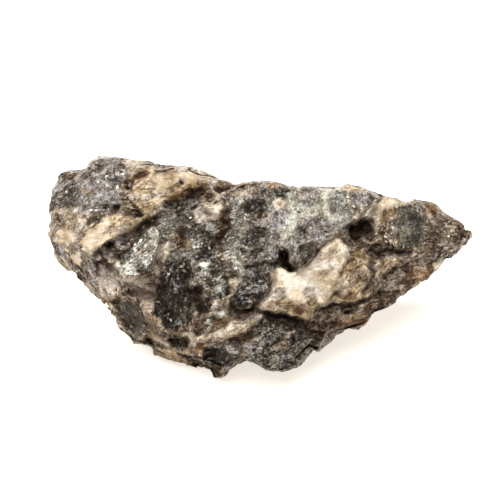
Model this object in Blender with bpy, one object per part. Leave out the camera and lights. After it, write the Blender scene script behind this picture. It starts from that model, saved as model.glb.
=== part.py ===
"""A hand specimen of ijolite: one broken piece of coarse rock, lying on a small flat spot.

The stone is one solid. Its body is a run of closed sections along X. Each section meets the outline
that is seen from in front and above, and swells towards the front and the back of that outline.
The forms that stand out from a step away are then carved into the body: mineral grains that stand
proud, ledges under them, and pits. Planes trim the side that is turned away, as breaks do.

Blender 4.5. Metres, +Z up, +X along the stone towards its pointed end. The origin is on the
surface that the stone rests on, under the middle of its box.
"""

import math

import bmesh
import bpy
import numpy as np
from mathutils import Vector, kdtree, noise

MM = 0.001

# The front of the stone is laid out in picture steps: right and down, as seen from LOOK_DOWN above
# the horizon and VIEW_DISTANCE away. Depth is measured in millimetres towards the viewer.
STEP = 0.085  # millimetres of stone to one picture step
MIDDLE = (258.5, 268.0)  # the picture point on the line of sight
LOOK_DOWN = math.radians(45)
VIEW_DISTANCE = 240.0
SIGHT_HEIGHT = 6.1  # height of the point that the line of sight goes through
SIDE_SHIFT = -0.15  # what puts the box's middle over the origin
BACK_SHIFT = -0.22

# The outline from end to end, in picture steps.
UPPER_EDGE = [
    (46, 204), (48, 187), (57, 173), (66, 167), (84, 166), (92, 159), (100, 156), (120, 156), (132, 159),
    (149, 164), (171, 168), (194, 171), (212, 176), (222, 181), (233, 187), (240, 186), (250, 184), (272, 184),
    (292, 186), (336, 187), (350, 187), (365, 193), (378, 198), (390, 198), (412, 203), (432, 206), (440, 215),
    (455, 224), (470, 233),
]
LOWER_EDGE = [
    (46, 224), (50, 243), (57, 262), (72, 279), (88, 290), (104, 307), (116, 323), (133, 341), (150, 349),
    (168, 358), (194, 364), (203, 369), (217, 372), (232, 370), (238, 360), (246, 357), (262, 366), (278, 371),
    (289, 370), (298, 361), (311, 349), (321, 342), (336, 335), (362, 325), (380, 308), (397, 296),
    (416, 283), (431, 273), (440, 262), (457, 247), (470, 235),
]

# Picture step along the stone, then millimetres: depth of the outline, swell in front, swell behind.
GIRTH = [
    (46, -2.6, 1.0, 1.0),
    (60, -2.4, 2.6, 2.6),
    (90, -1.8, 3.7, 3.9),
    (140, -0.9, 4.4, 5.0),
    (200, -0.2, 4.8, 5.8),
    (260, 0.0, 4.9, 6.2),
    (310, -0.2, 4.6, 5.9),
    (370, -0.9, 3.7, 4.6),
    (420, -1.6, 2.7, 3.2),
    (455, -2.1, 1.7, 2.0),
    (470, -2.3, 0.9, 0.9),
]
OUTLINE_LEAN = 1.6  # the outline's top lies this far behind its middle, and its foot as far ahead
LEANING_HALF = 60  # sections whose half height is less than this, in picture steps, lean less
STATIONS = 40
RING_POINTS = 28
FRONT_SHAPE = 0.60  # under 1 squares the section's shoulders
BACK_SHAPE = 0.62

# Breaks on the hidden sides: the way each flat break faces, and how deep it goes in from the body's
# furthest point that way, in millimetres.
BREAKS = [
    ((-0.40, 0.30, -0.86), 1.8),
    ((-0.44, 0.88, -0.15), 1.2),
    ((0.06, 0.98, 0.10), 1.0),
    ((0.12, 0.72, -0.68), 1.5),
    ((0.42, 0.22, -0.88), 1.5),
    ((0.40, 0.88, -0.25), 1.0),
]


def zone(corners, rise, edge=5.0, flat=0.0, lean=(0.0, 0.0)):
    """A form on the front: its outline in picture steps, how far it stands proud in millimetres, how
    many steps its edge takes, how far its face is pressed to a plane, from 0 to 1, and how much it
    rises in millimetres over 100 steps to the right and down."""
    return {"corners": np.array(corners, float), "rise": rise, "edge": edge, "flat": flat, "lean": lean}


ZONES = {
    "left_end_slab": zone(
        [(44, 190), (66, 168), (80, 172), (76, 190), (70, 212), (50, 222)], 0.2, 5, 0.6),
    "left_shoulder": zone(
        [(80, 172), (96, 158), (118, 160), (124, 180), (120, 206), (104, 220), (84, 232), (72, 214)],
        0.45, 5, 0.55),
    "shoulder_facet": zone([(118, 192), (132, 191), (134, 205), (124, 214), (116, 208)], 0.35, 3, 0.8),
    "tan_ridge": zone(
        [(126, 188), (136, 162), (172, 160), (200, 170), (234, 184), (228, 193), (204, 188), (184, 192),
         (164, 202), (138, 203)], 0.7, 7),
    "ridge_hollow": zone(
        [(176, 199), (190, 192), (206, 189), (222, 194), (210, 201), (188, 206), (168, 211)], -0.5, 5),
    "finger": zone(
        [(76, 244), (86, 231), (98, 221), (116, 213), (150, 212), (142, 222), (124, 233), (104, 247), (86, 253)],
        0.5, 5, 0.2),
    "finger_shade": zone([(104, 250), (128, 233), (146, 222), (150, 228), (132, 240), (112, 255)], -0.30, 5),
    "shoulder_pit": zone([(120, 180), (130, 176), (134, 186), (126, 190)], -0.4, 4),
    "bright_flake": zone(
        [(122, 268), (128, 248), (142, 230), (156, 226), (164, 238), (158, 258), (142, 274)],
        0.3, 4, 0.75, (-0.2, 0.1)),
    "pink_grain": zone([(194, 214), (202, 202), (222, 203), (224, 212), (212, 226), (198, 224)], 0.3, 4, 0.5),
    "brown_wedge": zone([(216, 236), (222, 212), (230, 212), (234, 228), (226, 246)], -0.4, 4, 0.0),
    "green_block": zone(
        [(230, 192), (246, 182), (272, 179), (292, 184), (350, 183), (378, 194), (373, 207), (366, 217),
         (345, 227), (322, 242), (310, 256), (297, 270), (286, 262), (278, 246), (262, 232), (240, 222)],
        0.8, 4, 0.8),
    "black_hole": zone([(279, 245), (287, 251), (290, 262), (298, 268), (291, 273), (283, 267), (279, 256)], -2.0, 4),
    "black_notch": zone(
        [(346, 229), (356, 221), (366, 217), (374, 222), (374, 232), (366, 236), (357, 242), (350, 238)],
        -1.0, 4, 0.3),
    "centre_lobe": zone(
        [(226, 240), (240, 228), (262, 230), (279, 242), (281, 254), (275, 262), (274, 280), (266, 294),
         (252, 308), (238, 312), (228, 303), (230, 280)], 0.75, 4, 0.6),
    "centre_pit": zone([(223, 287), (229, 285), (233, 293), (229, 297), (224, 295)], -0.8, 3),
    "dark_pit": zone([(190, 291), (198, 289), (206, 300), (206, 312), (199, 318), (193, 306)], -0.8, 5),
    "cream_mass": zone(
        [(332, 235), (349, 246), (345, 262), (340, 280), (330, 300), (318, 306), (310, 321), (292, 316),
         (270, 311), (256, 306), (263, 298), (273, 286), (275, 268), (296, 268), (310, 256)], 0.55, 4, 0.25),
    "cream_knob": zone([(285, 286), (298, 278), (316, 284), (314, 300), (298, 306), (286, 298)], 0.3, 5, 0.3),
    "honey_slab": zone(
        [(349, 246), (370, 252), (384, 262), (376, 284), (352, 300), (338, 300), (338, 278), (345, 262)],
        0.3, 5, 0.5),
    "tan_knob": zone(
        [(369, 214), (373, 203), (384, 197), (398, 196), (400, 206), (388, 217), (380, 232), (374, 228)], 0.5, 5),
    "tip_plate": zone(
        [(394, 204), (434, 203), (447, 217), (470, 232), (456, 250), (430, 256), (396, 250), (382, 240),
         (386, 222)], 0.4, 4, 0.65),
    "tip_crease": zone([(372, 246), (392, 248), (416, 250), (438, 251), (434, 256), (404, 256), (380, 259)],
                       -0.2, 4),
    "under_shade": zone(
        [(262, 311), (280, 313), (292, 316), (302, 321), (299, 328), (282, 325), (268, 321)], -1.1, 4),
    "grey_recess": zone(
        [(306, 328), (312, 320), (318, 306), (338, 304), (354, 301), (352, 314), (338, 328), (320, 331)],
        -0.6, 4, 0.5),
    "pale_strip": zone(
        [(214, 336), (230, 325), (248, 317), (264, 312), (264, 322), (250, 332), (232, 338), (216, 341)], 0.5, 4),
    "strip_shade": zone([(226, 339), (246, 335), (258, 328), (262, 334), (246, 341), (228, 344)], -0.45, 4),
    "foot_lobe": zone(
        [(248, 340), (262, 328), (284, 326), (310, 332), (324, 340), (312, 354), (292, 372), (276, 373),
         (256, 365), (244, 356)], 0.6, 6),
    "toe_lobe": zone(
        [(192, 352), (214, 344), (238, 346), (244, 356), (238, 364), (234, 376), (214, 380), (198, 370)], 0.4, 6),
    "toe_pit": zone([(170, 340), (180, 337), (189, 340), (187, 347), (178, 350)], -0.7, 4),
    "side_break": zone(
        [(50, 236), (74, 250), (100, 276), (122, 300), (146, 330), (178, 352), (204, 368), (190, 380),
         (140, 360), (90, 310), (50, 270)], -0.5, 8, 0.6),
    "dark_cleft": zone([(160, 292), (168, 270), (176, 262), (184, 268), (178, 300), (170, 314)], -0.35, 6, 0.3),
}

LUMPS = [(4.2, 0.26), (1.9, 0.14)]  # millimetres across, millimetres high

# Grains that the stone breaks along: millimetres across, how far a broken face leans as a slope,
# how far it stands in or out in millimetres, and how much of that the front keeps.
BLOCKS = (4.6, 0.16, 0.40, 0.55)
GRAINS = (1.8, 0.27, 0.12, 1.0)
LAYER_LEAN = (0.30, 0.25, 0.92)  # square to the layers that the grains lie in
LAYER_STRETCH = 1.7  # how much longer grains are along the layers than through them

WAVER = [(14.0, 2.4), (5.0, 1.4)]  # how the edges of the forms wander: picture steps across, steps aside
WAVER_APART = 31.7  # sets the wandering to the right and down apart
CARVED_FACING = (0.05, 0.45)  # how squarely a face looks at the viewer where carving starts, and is full
BEHIND_FACING = (-0.5, -0.1)  # the same where the stone's back turns into its front
PLANE_POINTS = 12  # a form with fewer points isn't pressed to a plane
SEED_SPREAD = 0.45  # how far a grain's middle lies off its place in the lattice, in cells
BODY_VOXEL = 0.32
CARVED_VOXEL = 0.26
TRIANGLES = 9400
SEED = 7


def sight_axes():
    """The picture's up, and the direction towards the viewer, in the stone's frame."""
    up = np.array([0.0, math.sin(LOOK_DOWN), math.cos(LOOK_DOWN)])
    near = np.array([0.0, -math.cos(LOOK_DOWN), math.sin(LOOK_DOWN)])
    return up, near


UP, NEAR = sight_axes()
SIGHT_POINT = np.array([SIDE_SHIFT, BACK_SHIFT, SIGHT_HEIGHT])


def to_stone(across, down, depth):
    """The point in millimetres that shows at a picture point, at a depth towards the viewer."""
    scale = (VIEW_DISTANCE - depth) / VIEW_DISTANCE * STEP
    right = (across - MIDDLE[0]) * scale
    up = (MIDDLE[1] - down) * scale
    return SIGHT_POINT + np.array([right, 0.0, 0.0]) + up * UP + depth * NEAR


def to_picture(points):
    """Picture steps right and down, and the depth, of points in millimetres."""
    rel = points - SIGHT_POINT
    depth = rel @ NEAR
    scale = (VIEW_DISTANCE - depth) / VIEW_DISTANCE * STEP
    return MIDDLE[0] + rel[:, 0] / scale, MIDDLE[1] - (rel @ UP) / scale, depth


def ring(across):
    """One closed section of the body."""
    top = np.interp(across, *np.transpose(UPPER_EDGE))
    foot = np.interp(across, *np.transpose(LOWER_EDGE))
    stations = np.transpose(GIRTH)
    limb, front, back = (np.interp(across, stations[0], row) for row in stations[1:])
    half = (foot - top) / 2
    lean = OUTLINE_LEAN * min(1.0, half / LEANING_HALF)
    points = []
    for k in range(RING_POINTS):
        turn = 2 * math.pi * k / RING_POINTS
        rise, out = math.cos(turn), math.sin(turn)
        swell = front * abs(out) ** FRONT_SHAPE if out > 0 else -back * abs(out) ** BACK_SHAPE
        points.append(to_stone(across, (top + foot) / 2 - half * rise, limb - lean * rise + swell))
    return points


def body_mesh():
    """The sections joined end to end into a closed mesh."""
    start, end = UPPER_EDGE[0][0], UPPER_EDGE[-1][0]
    mesh = bmesh.new()
    rings = []
    for k in range(STATIONS):
        even = k / (STATIONS - 1)
        crowded = 0.5 - 0.5 * math.cos(math.pi * even)
        across = start + (end - start) * (even + crowded) / 2
        rings.append([mesh.verts.new(Vector(p) * MM) for p in ring(across)])
    for one, two in zip(rings, rings[1:]):
        for k in range(RING_POINTS):
            n = (k + 1) % RING_POINTS
            mesh.faces.new((one[k], one[n], two[n], two[k]))
    mesh.faces.new(rings[0])
    mesh.faces.new(rings[-1][::-1])
    bmesh.ops.recalc_face_normals(mesh, faces=mesh.faces)
    return mesh


def break_off(mesh, point, normal):
    """Cuts away what lies outside a plane, in metres, and closes the stone with the flat break."""
    cut = bmesh.ops.bisect_plane(
        mesh, geom=mesh.verts[:] + mesh.edges[:] + mesh.faces[:], dist=1e-7,
        plane_co=point, plane_no=normal, clear_outer=True)
    edges = [e for e in cut["geom_cut"] if isinstance(e, bmesh.types.BMEdge)]
    bmesh.ops.holes_fill(mesh, edges=edges)


def break_hidden_sides(mesh):
    for way, depth in BREAKS:
        normal = Vector(way).normalized()
        furthest = max(vert.co.dot(normal) for vert in mesh.verts)
        break_off(mesh, normal * (furthest - depth * MM), normal)


def object_from(mesh, name):
    data = bpy.data.meshes.new(name)
    mesh.to_mesh(data)
    mesh.free()
    made = bpy.data.objects.new(name, data)
    bpy.context.scene.collection.objects.link(made)
    return made


def apply_modifiers(stone):
    graph = bpy.context.evaluated_depsgraph_get()
    old = stone.data
    stone.data = bpy.data.meshes.new_from_object(stone.evaluated_get(graph))
    stone.modifiers.clear()
    bpy.data.meshes.remove(old)


def even_out(stone, size):
    """Gives the stone even faces of a size in millimetres."""
    remesh = stone.modifiers.new("even faces", "REMESH")
    remesh.mode = "VOXEL"
    remesh.voxel_size = size * MM
    apply_modifiers(stone)


def keep_largest_shell(stone):
    """Takes out loose crumbs and closed bubbles, so that one shell stays."""
    mesh = bmesh.new()
    mesh.from_mesh(stone.data)
    unseen = set(mesh.verts)
    shells = []
    while unseen:
        shell = {unseen.pop()}
        edge_of_shell = list(shell)
        while edge_of_shell:
            vert = edge_of_shell.pop()
            for link in vert.link_edges:
                other = link.other_vert(vert)
                if other not in shell:
                    shell.add(other)
                    edge_of_shell.append(other)
        unseen -= shell
        shells.append(shell)
    shells.sort(key=len)
    spare = [vert for shell in shells[:-1] for vert in shell]
    bmesh.ops.delete(mesh, geom=spare, context="VERTS")
    mesh.to_mesh(stone.data)
    mesh.free()


def read(stone):
    """The stone's points in millimetres, and its normals."""
    count = len(stone.data.vertices)
    points, normals = np.empty(count * 3), np.empty(count * 3)
    stone.data.vertices.foreach_get("co", points)
    stone.data.vertices.foreach_get("normal", normals)
    return points.reshape(-1, 3) / MM, normals.reshape(-1, 3)


def write(stone, points):
    stone.data.vertices.foreach_set("co", (points * MM).ravel())
    stone.data.update()


def soft_step(low, high, values):
    share = np.clip((values - low) / (high - low), 0, 1)
    return share * share * (3 - 2 * share)


def wander(across, down):
    """Picture points moved a little aside, so that straight outlines break unevenly."""
    moved = [across.copy(), down.copy()]
    for size, reach in WAVER:
        for axis in (0, 1):
            offset = WAVER_APART * axis + size
            moved[axis] += reach * np.array(
                [noise.noise((a / size, d / size, offset)) for a, d in zip(across, down)])
    return moved


def inside(across, down, corners):
    """Distance in from a closed outline, negative outside it."""
    nearest = np.full(len(across), np.inf)
    crossings = np.zeros(len(across), int)
    for (ax, ay), (bx, by) in zip(corners, np.roll(corners, -1, axis=0)):
        ex, ey = bx - ax, by - ay
        share = np.clip(((across - ax) * ex + (down - ay) * ey) / (ex * ex + ey * ey), 0, 1)
        nearest = np.minimum(nearest, np.hypot(across - ax - share * ex, down - ay - share * ey))
        spans = (ay > down) != (by > down)
        if ey:
            crossings += spans & (across < ax + (down - ay) / ey * ex)
    return np.where(crossings % 2 == 1, nearest, -nearest)


def carve_zones(points, normals):
    """Moves the front of the stone towards or away from the viewer, zone by zone."""
    across, down, depth = to_picture(points)
    facing = soft_step(*CARVED_FACING, normals @ NEAR)
    across, down = wander(across, down)
    move = np.zeros(len(points))
    for form in ZONES.values():
        share = facing * soft_step(-form["edge"] / 2, form["edge"] / 2, inside(across, down, form["corners"]))
        held = share > 0.5
        if form["flat"] and held.sum() > PLANE_POINTS:
            table = np.c_[across, down, np.ones(len(points))]
            plane = np.linalg.lstsq(table[held], (depth + move)[held], rcond=None)[0]
            move += share * form["flat"] * (table @ plane - depth - move)
        middle = form["corners"].mean(0)
        leaning = (across - middle[0]) * form["lean"][0] + (down - middle[1]) * form["lean"][1]
        move += share * (form["rise"] + leaning / 100)
    return points + move[:, None] * NEAR


def along_layers(points):
    """Points squeezed along the layers, so that even cells there are long cells in the stone."""
    across = np.array(LAYER_LEAN) / np.linalg.norm(LAYER_LEAN)
    through = (points @ across)[:, None] * across
    return through + (points - through) / LAYER_STRETCH


def grain_seeds(points, size, rng):
    """Points scattered through a box, one in each cell of a loose lattice."""
    low, high = points.min(0) - size, points.max(0) + size
    cells = np.stack(np.meshgrid(*(np.arange(a, b, size) for a, b in zip(low, high)), indexing="ij"), -1)
    seeds = cells.reshape(-1, 3)
    return seeds + rng.uniform(-SEED_SPREAD, SEED_SPREAD, seeds.shape) * size


def break_grains(points, normals, grains):
    """Gives each grain a flat broken face that leans its own way and stands in or out."""
    size, tilt, rise, kept_in_front = grains
    rng = np.random.default_rng(SEED)
    squeezed = along_layers(points)
    seeds = grain_seeds(squeezed, size, rng)
    leans = rng.normal(size=seeds.shape)
    leans /= np.linalg.norm(leans, axis=1)[:, None]
    rises = rng.uniform(-rise, rise, len(seeds))
    tree = kdtree.KDTree(len(seeds))
    for index, seed in enumerate(seeds):
        tree.insert(seed, index)
    tree.balance()
    nearest = np.array([tree.find(p)[1] for p in squeezed])
    height = tilt * ((squeezed - seeds[nearest]) * leans[nearest]).sum(1) + rises[nearest]
    height *= 1 - (1 - kept_in_front) * soft_step(*BEHIND_FACING, normals @ NEAR)
    return points + height[:, None] * normals


def raise_lumps(points, normals):
    height = np.zeros(len(points))
    for size, high in LUMPS:
        height += high * np.array([noise.noise(Vector(p) / size) for p in points])
    return points + height[:, None] * normals


def stone_finish():
    finish = bpy.data.materials.new("ijolite")
    finish.use_nodes = True
    shader = finish.node_tree.nodes["Principled BSDF"]
    shader.inputs["Base Color"].default_value = (0.20, 0.175, 0.145, 1)
    shader.inputs["Roughness"].default_value = 0.55
    shader.inputs["Metallic"].default_value = 0.0
    return finish


def make_stone():
    mesh = body_mesh()
    break_hidden_sides(mesh)
    stone = object_from(mesh, "ijolite")
    even_out(stone, BODY_VOXEL)
    points, normals = read(stone)
    write(stone, raise_lumps(points, normals))
    for grains in (BLOCKS, GRAINS):
        points, normals = read(stone)
        write(stone, break_grains(points, normals, grains))
    points, normals = read(stone)
    write(stone, carve_zones(points, normals))
    even_out(stone, CARVED_VOXEL)
    thin = stone.modifiers.new("fewer faces", "DECIMATE")
    thin.ratio = TRIANGLES / (2 * len(stone.data.polygons))
    thin.use_collapse_triangulate = True
    apply_modifiers(stone)
    mesh = bmesh.new()
    mesh.from_mesh(stone.data)
    break_off(mesh, (0, 0, 0), (0, 0, -1))
    bmesh.ops.triangulate(mesh, faces=mesh.faces)
    mesh.to_mesh(stone.data)
    mesh.free()
    keep_largest_shell(stone)
    stone.data.materials.append(stone_finish())
    stone.data.shade_flat()
    return stone


def main():
    for old in list(bpy.data.objects):
        bpy.data.objects.remove(old)
    make_stone()


main()
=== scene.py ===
"""The finished look of a hand specimen of ijolite, a coarse rock of mica, green pyroxene and pale
nepheline.

The stone is built again from the values of its solid, with finer faces and finer grain. What each
spot of it is made of is painted on its points as one field for each mineral, and one finish turns
those fields into colour, gloss and relief. Mica flakes stand out of it as small plates.
"""

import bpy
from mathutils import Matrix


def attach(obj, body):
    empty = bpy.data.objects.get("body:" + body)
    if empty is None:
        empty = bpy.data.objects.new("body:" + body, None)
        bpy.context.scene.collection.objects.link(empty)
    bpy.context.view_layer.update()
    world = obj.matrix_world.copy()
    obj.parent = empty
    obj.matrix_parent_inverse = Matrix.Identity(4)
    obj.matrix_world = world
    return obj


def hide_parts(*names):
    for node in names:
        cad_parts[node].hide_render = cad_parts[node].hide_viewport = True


bl_info = {
    "name": "Ijolite Hand Specimen",
    "version": (1, 0, 0),
    "blender": (4, 5, 0),
    "location": "3D View > Sidebar > Ijolite",
    "description": "Builds a broken piece of ijolite, the mica flakes on it and a plain studio",
    "category": "Object",
}

import math
from collections import namedtuple
from functools import reduce
from types import SimpleNamespace

import bmesh
import bpy
import numpy as np
from bpy.props import FloatProperty, FloatVectorProperty, PointerProperty
from bpy.types import Operator, Panel, PropertyGroup
from mathutils import Matrix, Vector, kdtree, noise

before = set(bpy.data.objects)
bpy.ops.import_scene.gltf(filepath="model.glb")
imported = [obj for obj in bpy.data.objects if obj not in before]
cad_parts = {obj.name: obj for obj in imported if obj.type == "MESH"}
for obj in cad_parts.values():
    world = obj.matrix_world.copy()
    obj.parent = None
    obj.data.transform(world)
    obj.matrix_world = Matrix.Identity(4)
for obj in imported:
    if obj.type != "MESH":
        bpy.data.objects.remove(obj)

NODE = "ijolite"
MM = 0.001

# The front of the stone is laid out in picture steps: right and down, as seen from LOOK_DOWN above
# the horizon and VIEW_DISTANCE away. Depth is measured in millimetres towards the viewer.
STEP = 0.085  # millimetres of stone to one picture step
MIDDLE = (258.5, 268.0)  # the picture point on the line of sight
LOOK_DOWN = math.radians(45)
VIEW_DISTANCE = 240.0
SIGHT_HEIGHT = 6.1  # height of the point that the line of sight goes through
SIDE_SHIFT = -0.15  # what puts the box's middle over the origin
BACK_SHIFT = -0.22

# The outline from end to end, in picture steps.
UPPER_EDGE = [
    (46, 204), (48, 187), (57, 173), (66, 167), (84, 166), (92, 159), (100, 156), (120, 156), (132, 159),
    (149, 164), (171, 168), (194, 171), (212, 176), (222, 181), (233, 187), (240, 186), (250, 184),
    (272, 184), (292, 186), (336, 187), (350, 187), (365, 193), (378, 198), (390, 198), (412, 203),
    (432, 206), (440, 215), (455, 224), (470, 233),
]
LOWER_EDGE = [
    (46, 224), (50, 243), (57, 262), (72, 279), (88, 290), (104, 307), (116, 323), (133, 341), (150, 349),
    (168, 358), (194, 364), (203, 369), (217, 372), (232, 370), (238, 360), (246, 357), (262, 366),
    (278, 371), (289, 370), (298, 361), (311, 349), (321, 342), (336, 335), (362, 325), (380, 308),
    (397, 296), (416, 283), (431, 273), (440, 262), (457, 247), (470, 235),
]

# Picture step along the stone, then millimetres: depth of the outline, swell in front, swell behind.
GIRTH = [
    (46, -2.6, 1.0, 1.0),
    (60, -2.4, 2.6, 2.6),
    (90, -1.8, 3.7, 3.9),
    (140, -0.9, 4.4, 5.0),
    (200, -0.2, 4.8, 5.8),
    (260, 0.0, 4.9, 6.2),
    (310, -0.2, 4.6, 5.9),
    (370, -0.9, 3.7, 4.6),
    (420, -1.6, 2.7, 3.2),
    (455, -2.1, 1.7, 2.0),
    (470, -2.3, 0.9, 0.9),
]
OUTLINE_LEAN = 1.6  # the outline's top lies this far behind its middle, and its foot as far ahead
LEANING_HALF = 60  # sections whose half height is less than this, in picture steps, lean less
STATIONS = 40
RING_POINTS = 28
FRONT_SHAPE = 0.60  # under 1 squares the section's shoulders
BACK_SHAPE = 0.62

# Breaks on the hidden sides: the way each flat break faces, and how deep it goes in from the body's
# furthest point that way, in millimetres.
BREAKS = [
    ((-0.40, 0.30, -0.86), 1.8),
    ((-0.44, 0.88, -0.15), 1.2),
    ((0.06, 0.98, 0.10), 1.0),
    ((0.12, 0.72, -0.68), 1.5),
    ((0.42, 0.22, -0.88), 1.5),
    ((0.40, 0.88, -0.25), 1.0),
]


def zone(corners, rise, edge=5.0, flat=0.0, lean=(0.0, 0.0)):
    """A form on the front: its outline in picture steps, how far it stands proud in millimetres, how
    many steps its edge takes, how far its face is pressed to a plane, from 0 to 1, and how much it
    rises in millimetres over LEAN_SPAN steps to the right and down."""
    return {"corners": np.array(corners, float), "rise": rise, "edge": edge, "flat": flat, "lean": lean}


ZONES = {
    "left_end_slab": zone(
        [(44, 190), (66, 168), (80, 172), (76, 190), (70, 212), (50, 222)], 0.2, 5, 0.6),
    "left_shoulder": zone(
        [(80, 172), (96, 158), (118, 160), (124, 180), (120, 206), (104, 220), (84, 232), (72, 214)],
        0.45, 5, 0.55),
    "shoulder_facet": zone([(118, 192), (132, 191), (134, 205), (124, 214), (116, 208)], 0.35, 3, 0.8),
    "tan_ridge": zone(
        [(126, 188), (136, 162), (172, 160), (200, 170), (234, 184), (228, 193), (204, 188), (184, 192),
         (164, 202), (138, 203)], 0.7, 7),
    "ridge_hollow": zone(
        [(176, 199), (190, 192), (206, 189), (222, 194), (210, 201), (188, 206), (168, 211)], -0.5, 5),
    "finger": zone(
        [(76, 244), (86, 231), (98, 221), (116, 213), (150, 212), (142, 222), (124, 233), (104, 247),
         (86, 253)], 0.5, 5, 0.2),
    "finger_shade": zone(
        [(104, 250), (128, 233), (146, 222), (150, 228), (132, 240), (112, 255)], -0.30, 5),
    "shoulder_pit": zone([(120, 180), (130, 176), (134, 186), (126, 190)], -0.4, 4),
    "bright_flake": zone(
        [(122, 268), (128, 248), (142, 230), (156, 226), (164, 238), (158, 258), (142, 274)],
        0.3, 4, 0.75, (-0.2, 0.1)),
    "pink_grain": zone(
        [(194, 214), (202, 202), (222, 203), (224, 212), (212, 226), (198, 224)], 0.3, 4, 0.5),
    "brown_wedge": zone([(216, 236), (222, 212), (230, 212), (234, 228), (226, 246)], -0.4, 4, 0.0),
    "green_block": zone(
        [(230, 192), (246, 182), (272, 179), (292, 184), (350, 183), (378, 194), (373, 207), (366, 217),
         (345, 227), (322, 242), (310, 256), (297, 270), (286, 262), (278, 246), (262, 232), (240, 222)],
        0.8, 4, 0.8),
    "black_hole": zone(
        [(279, 245), (287, 251), (290, 262), (298, 268), (291, 273), (283, 267), (279, 256)], -2.0, 4),
    "black_notch": zone(
        [(346, 229), (356, 221), (366, 217), (374, 222), (374, 232), (366, 236), (357, 242), (350, 238)],
        -1.0, 4, 0.3),
    "centre_lobe": zone(
        [(226, 240), (240, 228), (262, 230), (279, 242), (281, 254), (275, 262), (274, 280), (266, 294),
         (252, 308), (238, 312), (228, 303), (230, 280)], 0.75, 4, 0.6),
    "centre_pit": zone([(223, 287), (229, 285), (233, 293), (229, 297), (224, 295)], -0.8, 3),
    "dark_pit": zone([(190, 291), (198, 289), (206, 300), (206, 312), (199, 318), (193, 306)], -0.8, 5),
    "cream_mass": zone(
        [(332, 235), (349, 246), (345, 262), (340, 280), (330, 300), (318, 306), (310, 321), (292, 316),
         (270, 311), (256, 306), (263, 298), (273, 286), (275, 268), (296, 268), (310, 256)],
        0.55, 4, 0.25),
    "cream_knob": zone(
        [(285, 286), (298, 278), (316, 284), (314, 300), (298, 306), (286, 298)], 0.3, 5, 0.3),
    "honey_slab": zone(
        [(349, 246), (370, 252), (384, 262), (376, 284), (352, 300), (338, 300), (338, 278), (345, 262)],
        0.3, 5, 0.5),
    "tan_knob": zone(
        [(369, 214), (373, 203), (384, 197), (398, 196), (400, 206), (388, 217), (380, 232), (374, 228)],
        0.5, 5),
    "tip_plate": zone(
        [(394, 204), (434, 203), (447, 217), (470, 232), (456, 250), (430, 256), (396, 250), (382, 240),
         (386, 222)], 0.4, 4, 0.65),
    "tip_crease": zone(
        [(372, 246), (392, 248), (416, 250), (438, 251), (434, 256), (404, 256), (380, 259)], -0.2, 4),
    "under_shade": zone(
        [(262, 311), (280, 313), (292, 316), (302, 321), (299, 328), (282, 325), (268, 321)], -1.1, 4),
    "grey_recess": zone(
        [(306, 328), (312, 320), (318, 306), (338, 304), (354, 301), (352, 314), (338, 328), (320, 331)],
        -0.6, 4, 0.5),
    "pale_strip": zone(
        [(214, 336), (230, 325), (248, 317), (264, 312), (264, 322), (250, 332), (232, 338), (216, 341)],
        0.5, 4),
    "strip_shade": zone(
        [(226, 339), (246, 335), (258, 328), (262, 334), (246, 341), (228, 344)], -0.45, 4),
    "foot_lobe": zone(
        [(248, 340), (262, 328), (284, 326), (310, 332), (324, 340), (312, 354), (292, 372), (276, 373),
         (256, 365), (244, 356)], 0.6, 6),
    "toe_lobe": zone(
        [(192, 352), (214, 344), (238, 346), (244, 356), (238, 364), (234, 376), (214, 380), (198, 370)],
        0.4, 6),
    "toe_pit": zone([(170, 340), (180, 337), (189, 340), (187, 347), (178, 350)], -0.7, 4),
    "side_break": zone(
        [(50, 236), (74, 250), (100, 276), (122, 300), (146, 330), (178, 352), (204, 368), (190, 380),
         (140, 360), (90, 310), (50, 270)], -0.5, 8, 0.6),
    "dark_cleft": zone(
        [(160, 292), (168, 270), (176, 262), (184, 268), (178, 300), (170, 314)], -0.35, 6, 0.3),
}

LUMPS = [(4.2, 0.26), (1.9, 0.14)]  # millimetres across, millimetres high

# Grains that the stone breaks along: millimetres across, how far a broken face leans as a slope,
# how far it stands in or out in millimetres, and how much of that the front keeps.
BLOCKS = (4.6, 0.16, 0.40, 0.55)
GRAINS = (1.8, 0.27, 0.12, 1.0)
LAYER_LEAN = (0.30, 0.25, 0.92)  # square to the layers that the grains lie in
LAYER_STRETCH = 1.7  # how much longer grains are along the layers than through them

WAVER = [(14.0, 2.4), (5.0, 1.4)]  # how the edges of the forms wander: picture steps across, steps aside
WAVER_APART = 31.7  # sets the wandering to the right and down apart
CARVED_FACING = (0.05, 0.45)  # how squarely a face looks at the viewer where carving starts, and is full
BEHIND_FACING = (-0.5, -0.1)  # the same where the stone's back turns into its front
PLANE_POINTS = 12  # a form with fewer points isn't pressed to a plane
SEED_SPREAD = 0.45  # how far a grain's middle lies off its place in the lattice, in cells

CUT_SLACK = 1e-7  # metres within which a point counts as lying on a cutting plane
LEAN_SPAN = 100  # picture steps over which a form's lean is told
MOSTLY = 0.5  # the share past which a point counts as part of a form

# Even faces of the mesh, in millimetres: while the stone is shaped, and when it is finished.
BODY_VOXEL = 0.30
FINE_VOXEL = 0.155

# Grains that are too fine for the solid, told in the same way as BLOCKS and GRAINS.
FINE_GRAINS = [(0.95, 0.18, 0.03, 1.0), (0.45, 0.20, 0.012, 1.0)]
RUGGED_EDGE = 2  # half the width, in picture steps, over which one mineral's ruggedness turns to the next
LEAST_SHARE = 1e-6  # what a mineral counts for where it doesn't lie

SEED = 7
HIDDEN_SEED = 19  # for the crystals of the sides that the picture doesn't show
HOLLOW_ROUNDS = 24  # how often the surface is evened out before hollows are measured from it
FIELD_REACH = 12.0  # picture steps past which a field is flat
TONE_EDGE = 1.5  # half the width, in picture steps, over which one patch's tone turns to the next

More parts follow.
